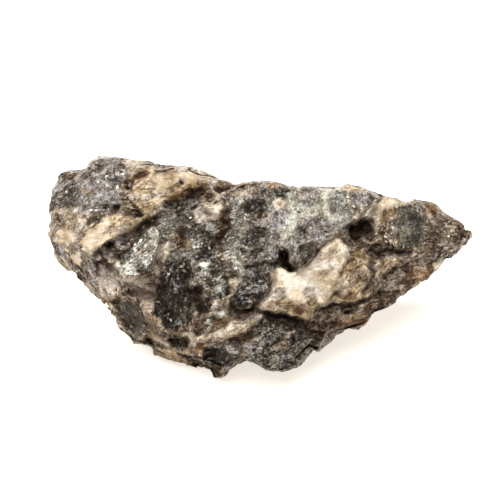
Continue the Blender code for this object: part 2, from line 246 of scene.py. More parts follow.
# Faces of the patches: how far each mineral is pressed flat and how proud it stands in millimetres.
FACES = {
    "cream": (0.35, 0.10),
    "beige": (0.45, 0.05),
    "tan": (0.45, 0.05),
    "green": (0.7, 0.0),
    "silver": (0.8, 0.08),
    "mica": (0.7, 0.02),
    "lilac": (0.7, 0.03),
    "shade": (0.3, -0.25),
    "umber": (0.5, -0.10),
}
DEFAULT_FACE = (0.5, 0.0)
FACE_FACING = (0.15, 0.50)  # how squarely a patch looks at the viewer where its face starts, and is full
FACE_LEAN = 0.10  # how steeply a face leans, as a slope
FACE_RISE = 0.10  # how far a face stands in or out, in millimetres
FACE_EDGE = (-2.6, 0.4)  # where the step round a face begins and ends, in picture steps inside its outline
FACE_POINTS = 10  # a face on fewer points than this is left as it is

# The upper outline as the picture shows it, with its small steps. The stone is lowered where it stands
# higher in the picture.
SKYLINE = [
    (46, 200), (52, 184), (60, 174), (76, 169), (84, 166), (92, 161), (100, 157), (116, 158), (124, 160),
    (140, 161), (156, 162), (172, 163), (188, 167), (204, 172), (220, 180), (230, 183), (236, 186),
    (244, 183), (268, 181), (292, 185), (316, 186), (348, 185), (364, 188), (372, 192), (396, 194),
    (412, 199), (436, 203), (444, 213), (460, 222), (470, 230),
]
SKYLINE_SLACK = 0.5  # how far the stone may stand over it, in picture steps
SKYLINE_HOLD = 0.8  # the share of the rest that is taken down

# Crystals of the sides that the picture doesn't show: their size in millimetres, how steeply their
# faces lean, how far they stand in or out, and the share of each mineral among them.
CRYSTAL = 2.6
CRYSTAL_LEAN = 0.14
CRYSTAL_RISE = 0.10
CRYSTAL_FACING = (-0.90, -0.45)  # how squarely a face looks at the viewer where crystals fade, and end
FRONT_FACING = (-0.05, 0.25)  # the same where the front starts, and is full
HIDDEN_SHARES = {
    "matrix": 20, "mica": 20, "green": 18, "beige": 12, "cream": 8, "tan": 10, "umber": 8, "lilac": 8,
    "silver": 4, "rust": 3}

# Small flakes: which minerals grow them and how thickly, from 0 to 1.
FLAKY = {"matrix": 0.3, "umber": 0.3, "green": 0.35, "lilac": 0.6, "silver": 0.3, "mica": 0.6}
FLAKY_EDGE = 1  # half the width, in picture steps, of the edge of what grows them
FLAKE_COVER = "flake_cover"  # the field that says where they grow
FLAKE_LIGHT = "flake_light"  # the field that says how light they are
FLAKE_FLOOR = (0.1, 0.7)  # millimetres above the floor where they start, and are full
FLAKE_CLUSTER = 1.6  # millimetres between their clusters
FLAKE_EDGE = (-0.15, 0.35)  # where clusters start in their noise, and are full
FLAKE_TONE = 0.35  # how far the tone of a patch makes them lighter
FLAKE_SIDES = 6
FLAKE_SPREAD = ((0.45, 0.35), (1.5, 1.1))  # the least and the most that one is stretched, long and across
FLAKE_VARIETY = 0.8  # how much one is lighter than another
FLAKE_MOTTLE = 0.35  # how much one is lighter in one spot than in another
FLAKE_COLOURS = ((14, 10, 7), (104, 98, 88), (196, 188, 172))
FLAKE_STOPS = (0.05, 0.45, 0.85)  # how light a flake is where each colour is full
FLAKE_ROUGHNESS = 0.32
FLAKE_SHEEN = 0.4

# Noise in the finishes: the width of its largest lumps in millimetres, how fine its detail goes, and
# how rough that is. Signals made of noise run from 0 to 1.
WARP_NOISE = (0.4, 3.0, 0.6)
WOBBLE_NOISE = (0.55, 5.0, 0.75)
CLOUD_NOISE = (2.0, 4.0, 0.6)
SPECK_NOISE = (0.17, 2.0, 0.7)
GRAIN_NOISE = (0.36, 4.0, 0.75)
STREAK_NOISE = (0.20, 4.0, 0.68)
FILM_NOISE = (1.2, 4.0, 0.65)
CLUSTER_NOISE = (1.3, 3.0, 0.6)
FLAKE_NOISE = (0.12, 3.0, 0.65)
PAPER_NOISE = (0.4, 2.0, 0.55)  # the only one with its width in metres

BEND = (0.7, 0.7, 0.7)  # how far the warp moves clouds and crystals, in millimetres
SWAY = (0.2, 0.2, 0.2)  # how far it moves streaks and fibres
WOBBLE = 11.0  # picture steps from end to end that the edge of a mineral wobbles
CRISP = (0.36, 0.64)  # where a crisp noise stops being dark, and is light
CRYSTAL_FACET = 0.7  # widths of facets, in millimetres
CHIP_FACET = 0.22

# Streaks and fibres: how much longer they are than wide, and half the width of the edge between two
# runs in picture steps. Fibres: degrees off the run and width in millimetres, the detail of their noise,
# and how far off its middle they start and are full. Bundles: the same detail, how much wider they are
# than fibres, and where they start and are full.
RUN_STRETCH = 8.0
RUN_EDGE = 0.6
PALE_FIBRES = (16, 0.45)
DARK_FIBRES = (-14, 0.60)
FIBRE_DETAIL = (2.0, 0.5)
FIBRE_EDGE = (0.13, 0.04)
BUNDLE_DETAIL = (2.0, 0.55)
BUNDLE_WIDTH = 3
BUNDLE_EDGE = (0.42, 0.58)

# Colour: how far tones and signals reach through a mineral's colours, how strongly specks show in it,
# how much light its darkest colour keeps of its dark one, and the most that its lightest can have.
SIGNAL_SHARE = 0.60
SPECK_TONE = 0.24
DARKEST = 0.45
LIGHTEST = 0.95
DISPLAY_STEPS = 255  # steps of a colour from black to white, as colours are told here

# Dark seams round some minerals, sunk a little and darkened as painted shade in the joints: picture steps
# off their edge where seams are still full, and end, where they start in the clouds and are full, how
# strongly they show, their shade tint, and their depth in millimetres.
SEAMED = ("mica", "silver")
SEAM_EDGE = (0.3, 1.2)
SEAM_PLACES = (0.40, 0.58)
SEAM_SHADE_SHARE = 0.6
SEAM_SHADE_TINT = (0.34, 0.27, 0.21, 1)
SEAM_DEPTH = 0.05

# A brown film, painted shade in hollows and wear on edges: where each starts and is full, for hollows
# and edges in millimetres under and over the surface round them, how strongly each shows, and its tint.
FILM_EDGE = (0.42, 0.58)
CLEAN_TINT = (0.98, 1.0, 1.05, 1)
FILM_TINT = (1.02, 0.985, 0.93, 1)
HOLLOW_SHADE_EDGE = (0.01, 0.22)
HOLLOW_SHADE_SHARE = 0.66
HOLLOW_SHADE_TINT = (0.32, 0.24, 0.17, 1)
WEAR_EDGE = (0.02, 0.25)
WEAR_SHARE = 0.5
WEAR_TINT = (1.5, 1.47, 1.42, 1)

# Painted glints, pale colour laid on as highlights: where their clusters start in the noise and are full,
# where they do so in the streaks, how strongly they show, and their colour.
CLUSTER_EDGE = (0.44, 0.62)
GLINT_EDGE = (0.57, 0.66)
GLINT_SHARE = 0.85
GLINT_COLOUR = (226, 221, 210)

# Gloss: how far fine grain changes the roughness, how much smoother glints and the whole stone are,
# the least roughness, how metallic a mineral is that glints fully, and the level of its reflections.
GRAIN_ROUGHNESS = 0.2
GLINT_POLISH = 0.15
POLISH = 0.06
SMOOTHEST = 0.16
METAL_SHARE = 0.9
STONE_SHEEN = 0.15

# Sockets of a Mix node that mixes colours, and the output of a Random Value node that is a plain number.
MIX_SHARE, MIX_UNDER, MIX_OVER, MIX_RESULT = 0, 6, 7, 2
RANDOM_NUMBER = 1

# Relief of the finish: how much of their lean facets keep, and the height in millimetres of the rest.
CRYSTAL_RELIEF = 0.48
CHIP_RELIEF = 0.7
SPECK_RELIEF = 0.08
STREAK_RELIEF = 0.14
FIBRE_RELIEF = 0.02
GRAIN_RELIEF = 0.03

# The camera and the floor. The floor lies a hair under the stone, so that no face of theirs is shared.
PICTURE = 500  # steps across the picture
SENSOR = 36.0  # millimetres across the sensor
CLIP_PART = 100  # nothing is seen nearer than the viewing distance over this
FLOOR_RADIUS = 2.5  # metres
FLOOR_SIDES = 64
FLOOR_DROP = -0.00002  # metres
FLOOR_COLOUR = (214, 209, 202)
FLOOR_TINT = (210, 206, 200)
FLOOR_GLOW = (255, 248, 238)
FLOOR_GLOW_LEVEL = 0.72
FLOOR_ROUGHNESS = 0.9
FLOOR_SHEEN = 0.2
WORLD_COLOUR = (1.0, 0.995, 0.985)

# Round lamps: their place and their width in metres, and their power in watts.
LIGHTS = [
    ("softbox", (-0.08, 0.02, 0.42), 0.60, 4.75),
    ("key", (-0.22, 0.20, 0.34), 0.12, 2.0),
]

# Fine cracks and ledges of the front: width in picture steps, depth in millimetres, and the line.
CRACKS = [
    (5, 0.50, [(112, 243), (120, 237), (130, 235), (140, 228), (152, 221), (160, 214)]),
    (3, 0.35, [(375, 199), (368, 208), (362, 216)]),
    (4, 0.45, [(348, 229), (336, 237), (322, 247), (312, 255), (303, 264), (294, 270)]),
    (5, 0.60, [(232, 306), (240, 311), (252, 308), (262, 299), (270, 290), (275, 278), (277, 264)]),
    (4, 0.15, [(224, 339), (246, 336), (260, 328), (266, 320)]),
    (4, 0.45, [(320, 306), (334, 303), (352, 305), (366, 300)]),
    (3, 0.35, [(380, 256), (372, 264), (375, 274), (372, 286), (364, 292)]),
    (3, 0.30, [(378, 258), (396, 252), (414, 252), (442, 249)]),
    (3, 0.20, [(384, 276), (398, 268), (412, 262), (426, 260)]),
    (3, 0.15, [(50, 199), (62, 191), (80, 184)]),
    (3, 0.15, [(52, 186), (66, 180), (84, 176)]),
    (3, 0.20, [(56, 248), (66, 258), (76, 266), (88, 276)]),
    (3, 0.25, [(158, 290), (164, 272), (172, 262), (184, 260)]),
    (4, 0.35, [(144, 312), (150, 326), (148, 340)]),
    (3, 0.12, [(118, 288), (128, 292), (142, 294), (152, 300)]),
    (4, 0.35, [(216, 240), (224, 236), (230, 228)]),
    (3, 0.25, [(282, 244), (276, 234), (262, 228), (246, 220)]),
    (3, 0.25, [(212, 318), (226, 324), (240, 318)]),
    (3, 0.25, [(368, 300), (382, 292), (398, 290)]),
    (4, 0.35, [(118, 206), (116, 212), (110, 216)]),
    (4, 0.40, [(126, 215), (134, 212), (142, 214)]),
]

# What the front is made of: mineral, how much lighter or darker than usual, and the outline in
# picture steps. Patches of shade are painted shade, for crevices, pits and the shadows under ledges. A
# later patch lies over the ones before it.
PATCHES = [
    # The left end, from its top down.
    ("lilac", -0.04, [(40, 190), (58, 172), (82, 168), (90, 178), (84, 192), (82, 208), (66, 216),
                      (44, 212)]),
    ("umber", -0.22, [(60, 172), (80, 171), (77, 179), (62, 181)]),
    ("mica", 0.06, [(48, 200), (60, 191), (78, 184), (82, 193), (68, 205), (50, 208)]),
    ("beige", 0.00, [(42, 214), (64, 206), (80, 206), (90, 216), (86, 232), (74, 247), (58, 246),
                     (44, 232)]),
    ("cream", -0.02, [(60, 234), (72, 231), (77, 242), (66, 249), (59, 244)]),
    ("umber", 0.04, [(52, 213), (59, 212), (59, 222), (53, 224)]),
    ("lilac", 0.12, [(84, 178), (94, 158), (118, 156), (128, 176), (120, 192), (120, 206), (108, 214),
                     (92, 218), (80, 206)]),
    ("mica", 0.15, [(90, 164), (101, 161), (103, 172), (94, 173), (86, 178), (84, 172)]),
    ("mica", -0.02, [(106, 170), (116, 169), (117, 179), (107, 181)]),
    ("silver", 0.00, [(92, 172), (98, 174), (104, 180), (98, 185), (92, 178)]),
    ("silver", 0.22, [(115, 172), (122, 171), (124, 176), (117, 178)]),
    ("beige", -0.14, [(80, 190), (90, 189), (94, 196), (84, 199)]),
    ("lilac", 0.04, [(76, 198), (90, 197), (92, 210), (78, 212)]),
    ("mica", -0.01, [(103, 203), (110, 203), (110, 212), (102, 211)]),
    ("umber", -0.13, [(84, 214), (94, 212), (102, 213), (100, 221), (88, 224)]),
    ("mica", -0.08, [(94, 213), (99, 215), (98, 221), (93, 220)]),
    ("matrix", -0.16, [(120, 192), (129, 190), (134, 197), (132, 207), (124, 215), (118, 207)]),
    ("shade", 0.15, [(112, 206), (119, 205), (119, 211), (113, 214)]),
    # The pale ridge along the top.
    ("beige", 0.00, [(122, 186), (128, 158), (172, 158), (202, 168), (222, 178), (236, 187), (226, 194),
                     (204, 192), (190, 192), (170, 201), (148, 212), (132, 202)]),
    ("tan", 0.08, [(130, 180), (140, 168), (154, 166), (157, 173), (146, 180), (136, 186)]),
    ("rust", -0.38, [(132, 178), (140, 171), (150, 172), (146, 179), (138, 181)]),
    ("umber", -0.14, [(121, 180), (130, 177), (135, 183), (132, 190), (125, 188)]),
    ("cream", -0.26, [(158, 172), (172, 168), (180, 176), (174, 186), (158, 193), (152, 184)]),
    ("cream", -0.14, [(182, 172), (196, 172), (200, 180), (190, 185), (180, 180)]),
    ("tan", 0.24, [(130, 186), (146, 181), (154, 184), (150, 195), (136, 197)]),
    ("umber", 0.10, [(180, 179), (185, 179), (184, 184), (180, 184)]),
    ("tan", -0.02, [(160, 196), (176, 186), (190, 183), (206, 184), (208, 192), (190, 200), (166, 204)]),
    ("rust", -0.28, [(168, 197), (182, 189), (200, 186), (204, 192), (192, 201), (174, 204)]),
    ("shade", 0.10, [(186, 197), (196, 190), (204, 191), (198, 199), (188, 201)]),
    ("umber", -0.46, [(214, 188), (220, 182), (230, 184), (230, 190), (220, 193)]),
    ("rust", 0.10, [(218, 184), (225, 181), (230, 185), (222, 187)]),
    # Below the ridge.
    ("tan", 0.12, [(132, 202), (150, 196), (162, 200), (160, 212), (146, 220), (130, 214)]),
    ("beige", 0.26, [(156, 204), (172, 204), (174, 218), (160, 222)]),
    ("green", -0.13, [(156, 214), (176, 206), (216, 214), (216, 262), (196, 262), (166, 262),
                      (160, 236)]),
    ("mica", 0.05, [(166, 201), (196, 200), (202, 214), (202, 228), (190, 226), (176, 214), (164, 208)]),
    ("lilac", -0.34, [(184, 216), (194, 214), (196, 222), (186, 224)]),
    ("umber", -0.26, [(172, 234), (184, 230), (186, 250), (174, 252)]),
    ("tan", -0.12, [(186, 240), (191, 238), (193, 248), (187, 250)]),
    ("mica", 0.03, [(196, 236), (214, 236), (218, 262), (196, 262)]),
    ("beige", 0.10, [(193, 213), (200, 204), (214, 202), (213, 216), (204, 224), (197, 221)]),
    ("cream", 0.14, [(210, 215), (214, 206), (222, 205), (222, 211), (214, 220)]),
    ("umber", -0.05, [(215, 226), (222, 212), (229, 210), (235, 224), (227, 236), (222, 236), (221, 250),
                      (215, 240)]),
    ("lilac", 0.40, [(206, 222), (213, 221), (214, 232), (207, 230)]),
    # The cream tongue on the left and the dark gap under it.
    ("cream", -0.22, [(77, 244), (86, 232), (98, 222), (112, 217), (124, 218), (122, 228), (110, 240),
                      (100, 248), (86, 251)]),
    ("tan", 0.17, [(112, 218), (124, 214), (150, 212), (142, 223), (126, 232), (112, 238), (108, 230)]),
    ("cream", -0.04, [(96, 225), (106, 220), (112, 224), (100, 233), (90, 235)]),
    ("tan", 0.33, [(120, 224), (134, 221), (136, 228), (128, 240), (120, 240), (124, 232)]),
    ("shade", -0.02, [(126, 213), (138, 211), (144, 215), (134, 219)]),
    ("mica", 0.31, [(102, 247), (114, 238), (128, 236), (126, 246), (114, 253), (104, 256)]),
    ("shade", -0.20, [(106, 248), (114, 243), (116, 250), (108, 252)]),
    ("shade", 0.05, [(138, 232), (148, 223), (158, 219), (158, 226), (148, 230), (140, 237)]),
    ("lilac", -0.04, [(102, 254), (112, 251), (114, 257), (104, 260)]),
    # Lighter than its mineral to offset the shade of the hollow here: painted light.
    ("cream", 1.20, [(90, 250), (98, 249), (100, 254), (92, 254)]),
    ("lilac", -0.31, [(91, 255), (98, 256), (98, 264), (92, 263)]),
    # The bright flake.
    ("silver", -0.06, [(112, 266), (120, 256), (132, 246), (142, 232), (156, 228), (162, 238), (156, 252),
                       (148, 266), (136, 276), (120, 276)]),
    ("green", 0.06, [(146, 235), (152, 236), (153, 250), (147, 250)]),
    ("green", 0.10, [(136, 248), (141, 246), (142, 260), (137, 262)]),
    ("silver", 0.04, [(143, 255), (150, 252), (154, 258), (148, 265), (142, 262)]),
    ("silver", -0.08, [(146, 231), (156, 229), (157, 236), (148, 237)]),
    ("beige", 0.14, [(160, 246), (168, 243), (171, 254), (164, 262), (156, 258)]),
    ("mica", -0.05, [(136, 268), (148, 264), (152, 270), (140, 274)]),
    # The lower left side.
    ("matrix", 0.22, [(46, 246), (70, 244), (90, 252), (100, 270), (100, 298), (84, 292), (54, 268)]),
    ("lilac", 0.08, [(52, 246), (64, 244), (68, 256), (58, 258)]),
    ("cream", -0.08, [(71, 255), (78, 252), (84, 260), (82, 266), (74, 263)]),
    ("cream", -0.54, [(57, 262), (62, 260), (72, 270), (68, 274)]),
    ("lilac", 0.09, [(84, 264), (94, 262), (98, 280), (90, 290), (84, 276)]),
    ("beige", 0.14, [(96, 264), (106, 262), (116, 270), (122, 280), (120, 290), (112, 300), (102, 296),
                     (97, 280)]),
    ("tan", 0.10, [(102, 296), (112, 300), (114, 310), (106, 306)]),
    # Lighter than its mineral to offset the shade under the tongue: painted light.
    ("cream", 0.35, [(106, 266), (118, 262), (122, 268), (112, 272)]),
    ("matrix", 0.03, [(112, 290), (128, 290), (150, 300), (146, 312), (130, 304), (116, 302)]),
    ("lilac", -0.34, [(118, 306), (128, 300), (140, 308), (148, 322), (148, 338), (136, 336),
                      (122, 324)]),
    # Lighter than its mineral to offset the shade under the flake: painted light.
    ("matrix", 0.45, [(122, 278), (150, 276), (158, 290), (150, 300), (128, 294)]),
    ("beige", -0.06, [(140, 300), (150, 296), (156, 306), (152, 314), (144, 310)]),
    ("tan", -0.26, [(146, 312), (154, 314), (158, 328), (154, 342), (148, 338)]),
    ("matrix", -0.11, [(112, 306), (122, 322), (134, 336), (150, 340), (160, 352), (140, 350),
                       (112, 322)]),
    ("beige", -0.44, [(140, 331), (148, 333), (147, 338), (141, 337)]),
    # The large dark mica and the pit beside it.
    ("mica", -0.28, [(156, 292), (164, 272), (174, 262), (186, 260), (192, 272), (190, 290), (194, 306),
                     (192, 322), (180, 332), (166, 328), (154, 312)]),
    ("green", -0.30, [(170, 306), (188, 304), (190, 314), (176, 320)]),
    ("mica", -0.28, [(178, 280), (188, 280), (188, 300), (178, 300)]),
    ("shade", 0.00, [(190, 290), (198, 290), (204, 300), (204, 310), (198, 318), (193, 306)]),
    ("mica", -0.16, [(204, 300), (214, 298), (208, 312), (202, 312)]),
    ("umber", -0.14, [(178, 330), (190, 322), (204, 320), (204, 332), (188, 336)]),
    # The middle.
    ("silver", -0.12, [(194, 268), (202, 260), (212, 260), (213, 272), (208, 282), (206, 292),
                       (196, 284)]),
    ("cream", 0.81, [(200, 264), (208, 262), (208, 268), (202, 270)]),
    ("mica", 0.14, [(196, 272), (204, 274), (208, 288), (200, 290), (194, 282)]),
    ("silver", -0.04, [(199, 281), (204, 280), (204, 286), (200, 286)]),
    ("green", -0.32, [(211, 264), (218, 258), (226, 266), (222, 277), (213, 277)]),
    ("silver", 0.08, [(212, 278), (222, 275), (229, 282), (226, 292), (222, 298), (214, 294)]),
    ("beige", 0.04, [(229, 282), (233, 277), (241, 278), (239, 288), (230, 290)]),
    ("silver", 0.02, [(221, 249), (230, 252), (240, 258), (240, 263), (231, 262), (223, 256)]),
    ("silver", -0.06, [(234, 258), (246, 260), (254, 263), (246, 272), (238, 282), (234, 272)]),
    ("green", -0.18, [(224, 262), (233, 262), (234, 274), (228, 276), (224, 268)]),
    ("green", -0.04, [(224, 238), (232, 230), (240, 238), (240, 256), (230, 252), (222, 248)]),
    ("mica", 0.31, [(240, 240), (262, 230), (280, 242), (280, 262), (262, 264), (246, 262), (238, 254)]),
    ("silver", 1.20, [(244, 246), (250, 243), (255, 248), (248, 250)]),
    ("silver", 0.04, [(240, 256), (248, 254), (250, 258), (243, 260)]),
    ("mica", -0.08, [(246, 268), (256, 262), (274, 262), (276, 278), (268, 290), (258, 300), (244, 308),
                     (232, 304), (234, 292), (242, 282)]),
    ("shade", 0.40, [(224, 287), (228, 285), (232, 291), (231, 296), (226, 294)]),
    ("shade", 0.20, [(230, 304), (239, 309), (250, 307), (260, 299), (268, 289), (272, 278), (276, 280),
                     (272, 292), (262, 304), (250, 312), (236, 312)]),
    ("umber", 0.46, [(230, 312), (240, 310), (254, 310), (264, 304), (266, 310), (250, 318), (236, 324),
                     (226, 322)]),
    ("beige", -0.06, [(210, 306), (221, 300), (230, 306), (228, 316), (219, 320), (211, 316)]),
    ("silver", 0.67, [(218, 312), (225, 310), (226, 317), (220, 319)]),
    ("silver", -0.24, [(205, 316), (213, 314), (215, 324), (208, 328)]),
    ("tan", -0.50, [(212, 322), (222, 318), (230, 322), (224, 328), (214, 330)]),
    # The pale strip and what lies under it.
    ("beige", 0.00, [(198, 335), (214, 333), (226, 328), (238, 322), (252, 316), (264, 312), (264, 320),
                     (254, 326), (244, 333), (230, 336), (214, 339), (198, 339)]),
    ("tan", 0.25, [(222, 338), (230, 334), (246, 334), (258, 326), (264, 328), (250, 338), (228, 341)]),
    ("rust", -0.10, [(190, 346), (200, 342), (206, 346), (202, 352), (192, 352)]),
    ("beige", 0.06, [(180, 334), (192, 330), (198, 340), (196, 348), (188, 346), (186, 338)]),
    ("shade", 0.12, [(170, 339), (177, 337), (188, 340), (187, 346), (181, 349), (176, 349)]),
    ("tan", 0.00, [(156, 346), (170, 350), (188, 356), (198, 364), (190, 368), (160, 360)]),
    ("umber", 0.00, [(182, 350), (196, 352), (204, 364), (198, 368), (186, 358)]),
    ("mica", -0.20, [(204, 348), (236, 344), (240, 354), (230, 362), (216, 366), (204, 360)]),
    ("umber", 0.10, [(206, 362), (218, 364), (220, 378), (206, 374)]),
    ("lilac", -0.10, [(224, 364), (234, 362), (236, 372), (226, 376)]),
    ("lilac", 0.18, [(222, 343), (234, 342), (240, 350), (228, 352)]),
    # The foot.
    ("mica", -0.02, [(244, 344), (262, 340), (300, 340), (326, 330), (322, 346), (300, 374), (270, 376),
                     (244, 362)]),
    ("mica", -0.02, [(254, 336), (262, 318), (282, 318), (304, 328), (318, 330), (306, 344), (290, 348),
                     (274, 346), (260, 346)]),
    ("beige", -0.20, [(272, 346), (281, 344), (288, 334), (291, 338), (284, 348), (274, 350)]),
    ("beige", 0.27, [(288, 332), (295, 330), (295, 334), (289, 335)]),
    ("shade", 0.29, [(264, 313), (282, 313), (300, 320), (298, 328), (282, 325), (266, 318)]),
    ("umber", -0.26, [(300, 324), (314, 320), (326, 332), (318, 342), (306, 332)]),
    # The cream mass.
    ("cream", 0.04, [(272, 270), (284, 268), (294, 272), (304, 264), (314, 256), (330, 238), (350, 246),
                     (348, 258), (340, 282), (328, 302), (318, 306), (310, 321), (292, 315), (270, 311),
                     (254, 306), (262, 298), (270, 288)]),
    ("cream", 0.22, [(284, 274), (304, 266), (312, 272), (306, 286), (300, 300), (290, 298), (284, 288)]),
    ("cream", 0.57, [(312, 262), (326, 258), (330, 268), (322, 272), (312, 270)]),
    ("pearl", 0.18, [(326, 250), (340, 250), (338, 264), (330, 270), (326, 262)]),
    ("cream", -0.10, [(328, 280), (340, 278), (338, 290), (330, 292)]),
    ("pearl", -0.09, [(304, 290), (313, 289), (316, 297), (306, 299)]),
    ("cream", -0.18, [(306, 274), (316, 270), (326, 270), (322, 280), (314, 284), (308, 280)]),
    ("beige", 0.06, [(256, 302), (268, 288), (284, 286), (286, 300), (278, 312), (262, 310)]),
    ("tan", -0.02, [(276, 300), (286, 294), (294, 302), (304, 305), (316, 298), (318, 306), (310, 320),
                    (294, 315), (278, 312)]),
    ("tan", -0.40, [(282, 304), (292, 302), (302, 308), (300, 316), (288, 312)]),
    ("cream", -0.10, [(310, 268), (316, 258), (326, 248), (334, 238), (340, 240), (330, 252),
                      (320, 262)]),
    ("tan", 0.42, [(318, 258), (326, 248), (331, 246), (324, 258)]),
    ("tan", 0.06, [(334, 286), (342, 270), (348, 256), (356, 249), (370, 250), (380, 262), (366, 262),
                   (352, 264), (346, 280), (340, 290)]),
    ("tan", 0.02, [(344, 276), (350, 262), (364, 258), (376, 264), (374, 276), (360, 284), (346, 284)]),
    ("cream", -0.70, [(350, 262), (358, 260), (358, 264), (351, 266)]),
    ("beige", -0.05, [(352, 272), (364, 268), (368, 272), (358, 278)]),
    ("tan", 0.14, [(334, 298), (346, 286), (362, 284), (372, 280), (374, 292), (358, 302), (340, 304)]),
    ("tan", -0.20, [(336, 294), (350, 290), (360, 296), (346, 302)]),
    ("umber", 0.16, [(306, 326), (314, 314), (322, 305), (352, 304), (352, 316), (338, 329), (320, 332)]),
    ("shade", 0.32, [(320, 306), (330, 302), (342, 305), (354, 302), (354, 310), (338, 308), (324, 310)]),
    ("tan", -0.32, [(334, 330), (340, 318), (354, 312), (374, 308), (370, 320), (350, 328)]),
    ("rust", -0.12, [(342, 322), (356, 320), (372, 316), (368, 324), (346, 330)]),
    # The green block.
    ("green", 0.06, [(228, 196), (240, 182), (272, 178), (292, 182), (350, 182), (380, 194), (374, 207),
                     (366, 218), (345, 230), (322, 245), (310, 258), (296, 271), (284, 256), (278, 244),
                     (262, 232), (240, 240), (234, 224)]),
    ("beige", -0.02, [(232, 184), (244, 182), (262, 182), (250, 196), (236, 200)]),
    ("tan", 0.04, [(262, 182), (280, 182), (288, 190), (270, 190)]),
    ("mica", 0.08, [(256, 190), (290, 190), (288, 198), (270, 198), (260, 198)]),
    ("mica", -0.20, [(240, 207), (248, 200), (262, 198), (267, 204), (262, 213), (248, 215)]),
    ("umber", -0.16, [(248, 214), (262, 212), (270, 214), (262, 222), (250, 220)]),
    ("mica", -0.02, [(242, 234), (250, 222), (264, 227), (272, 234), (262, 243), (252, 248), (243, 246)]),
    ("beige", 0.50, [(274, 202), (280, 197), (286, 201), (284, 208), (277, 210)]),
    ("rust", -0.02, [(277, 203), (282, 202), (282, 207), (278, 207)]),
    ("lilac", 0.06, [(268, 214), (284, 210), (288, 226), (282, 238), (270, 230)]),
    ("haze", 0.02, [(286, 197), (298, 195), (299, 212), (297, 232), (288, 238), (284, 226), (288, 214)]),
    ("haze", 0.18, [(283, 227), (292, 226), (292, 236), (284, 236)]),
    ("lilac", 0.29, [(300, 196), (314, 192), (320, 200), (308, 208), (300, 206)]),
    ("haze", 0.16, [(302, 208), (322, 204), (324, 214), (306, 218)]),
    ("lilac", 0.08, [(302, 222), (318, 216), (338, 222), (336, 232), (322, 242), (312, 244), (304, 234)]),
    ("haze", 0.36, [(323, 190), (330, 190), (329, 216), (323, 217)]),
    ("haze", 0.24, [(324, 213), (346, 217), (346, 220), (324, 217)]),
    ("lilac", -0.10, [(283, 243), (290, 240), (297, 247), (294, 255), (286, 250)]),
    ("green", -0.37, [(290, 258), (300, 245), (316, 241), (311, 255), (302, 263), (295, 269)]),
    ("mica", -0.02, [(299, 226), (306, 224), (309, 238), (301, 240)]),
    ("green", 0.08, [(330, 190), (350, 190), (352, 210), (332, 212)]),
    ("lilac", 0.02, [(352, 192), (372, 192), (370, 204), (354, 208)]),
    ("beige", -0.04, [(350, 217), (358, 210), (368, 205), (371, 209), (364, 217), (356, 221)]),
    ("tan", 0.16, [(336, 184), (350, 184), (366, 189), (364, 193), (338, 190)]),
    ("lilac", 0.10, [(246, 218), (260, 223), (274, 228), (273, 231), (258, 226), (246, 221)]),
    ("shade", 0.00, [(279, 246), (284, 249), (289, 252), (290, 262), (298, 267), (292, 272), (284, 267),
                     (279, 256)]),
    ("shade", 0.24, [(345, 233), (352, 224), (362, 217), (371, 218), (375, 226), (373, 234), (366, 236),
                     (361, 243), (353, 242), (350, 235)]),
    ("tan", 0.68, [(318, 248), (332, 237), (346, 229), (349, 234), (336, 241), (322, 252)]),
    # The right end.
    ("tan", 0.36, [(366, 214), (373, 204), (382, 196), (392, 193), (414, 198), (404, 206), (392, 210),
                   (386, 214), (378, 224), (376, 234), (371, 226)]),
    ("cream", 0.00, [(374, 208), (384, 198), (396, 198), (398, 206), (384, 210), (376, 216)]),
    ("tan", -0.30, [(380, 214), (392, 208), (400, 212), (392, 222), (380, 226)]),
    ("matrix", 0.04, [(378, 226), (394, 216), (402, 214), (400, 236), (384, 240), (376, 236)]),
    ("green", -0.20, [(398, 212), (408, 204), (420, 200), (428, 206), (426, 232), (420, 248), (400, 248),
                      (394, 240)]),
    ("haze", -0.36, [(401, 218), (405, 216), (406, 232), (402, 236)]),
    ("rust", -0.04, [(424, 202), (434, 202), (440, 210), (434, 216), (426, 212)]),
    ("matrix", -0.06, [(426, 216), (450, 212), (470, 228), (472, 236), (456, 250), (438, 252), (420, 250),
                       (424, 232)]),
    ("rust", -0.34, [(452, 222), (464, 222), (470, 232), (462, 232)]),
    ("lilac", 0.00, [(441, 240), (450, 243), (452, 248), (444, 246)]),
    ("matrix", 0.04, [(372, 258), (400, 252), (446, 250), (444, 264), (430, 282), (408, 292), (390, 298),
                      (374, 290)]),
    ("umber", 0.28, [(364, 252), (372, 243), (382, 245), (384, 256), (374, 260)]),
    ("shade", 0.20, [(368, 250), (374, 244), (380, 250), (392, 250), (412, 251), (412, 254), (390, 257),
                     (376, 257)]),
    ("tan", -0.18, [(376, 268), (384, 260), (398, 256), (402, 262), (388, 268), (378, 274)]),
    ("umber", 0.34, [(382, 274), (398, 266), (414, 261), (412, 267), (396, 273), (386, 278)]),
    ("matrix", 0.08, [(386, 278), (404, 270), (416, 264), (414, 272), (400, 280)]),
    ("rust", 0.08, [(406, 276), (416, 268), (432, 267), (432, 276), (420, 280), (410, 282)]),
    ("cream", 0.14, [(433, 264), (438, 261), (443, 265), (438, 270), (433, 269)]),
    ("umber", 0.08, [(404, 279), (417, 278), (416, 288), (408, 290)]),
    ("beige", -0.10, [(372, 280), (386, 280), (400, 282), (396, 292), (380, 294), (370, 290)]),
    ("umber", -0.04, [(364, 300), (378, 292), (398, 290), (392, 302), (378, 314), (366, 312)]),
    ("shade", 0.60, [(372, 262), (378, 268), (376, 276), (370, 290), (364, 292), (370, 276)]),
]

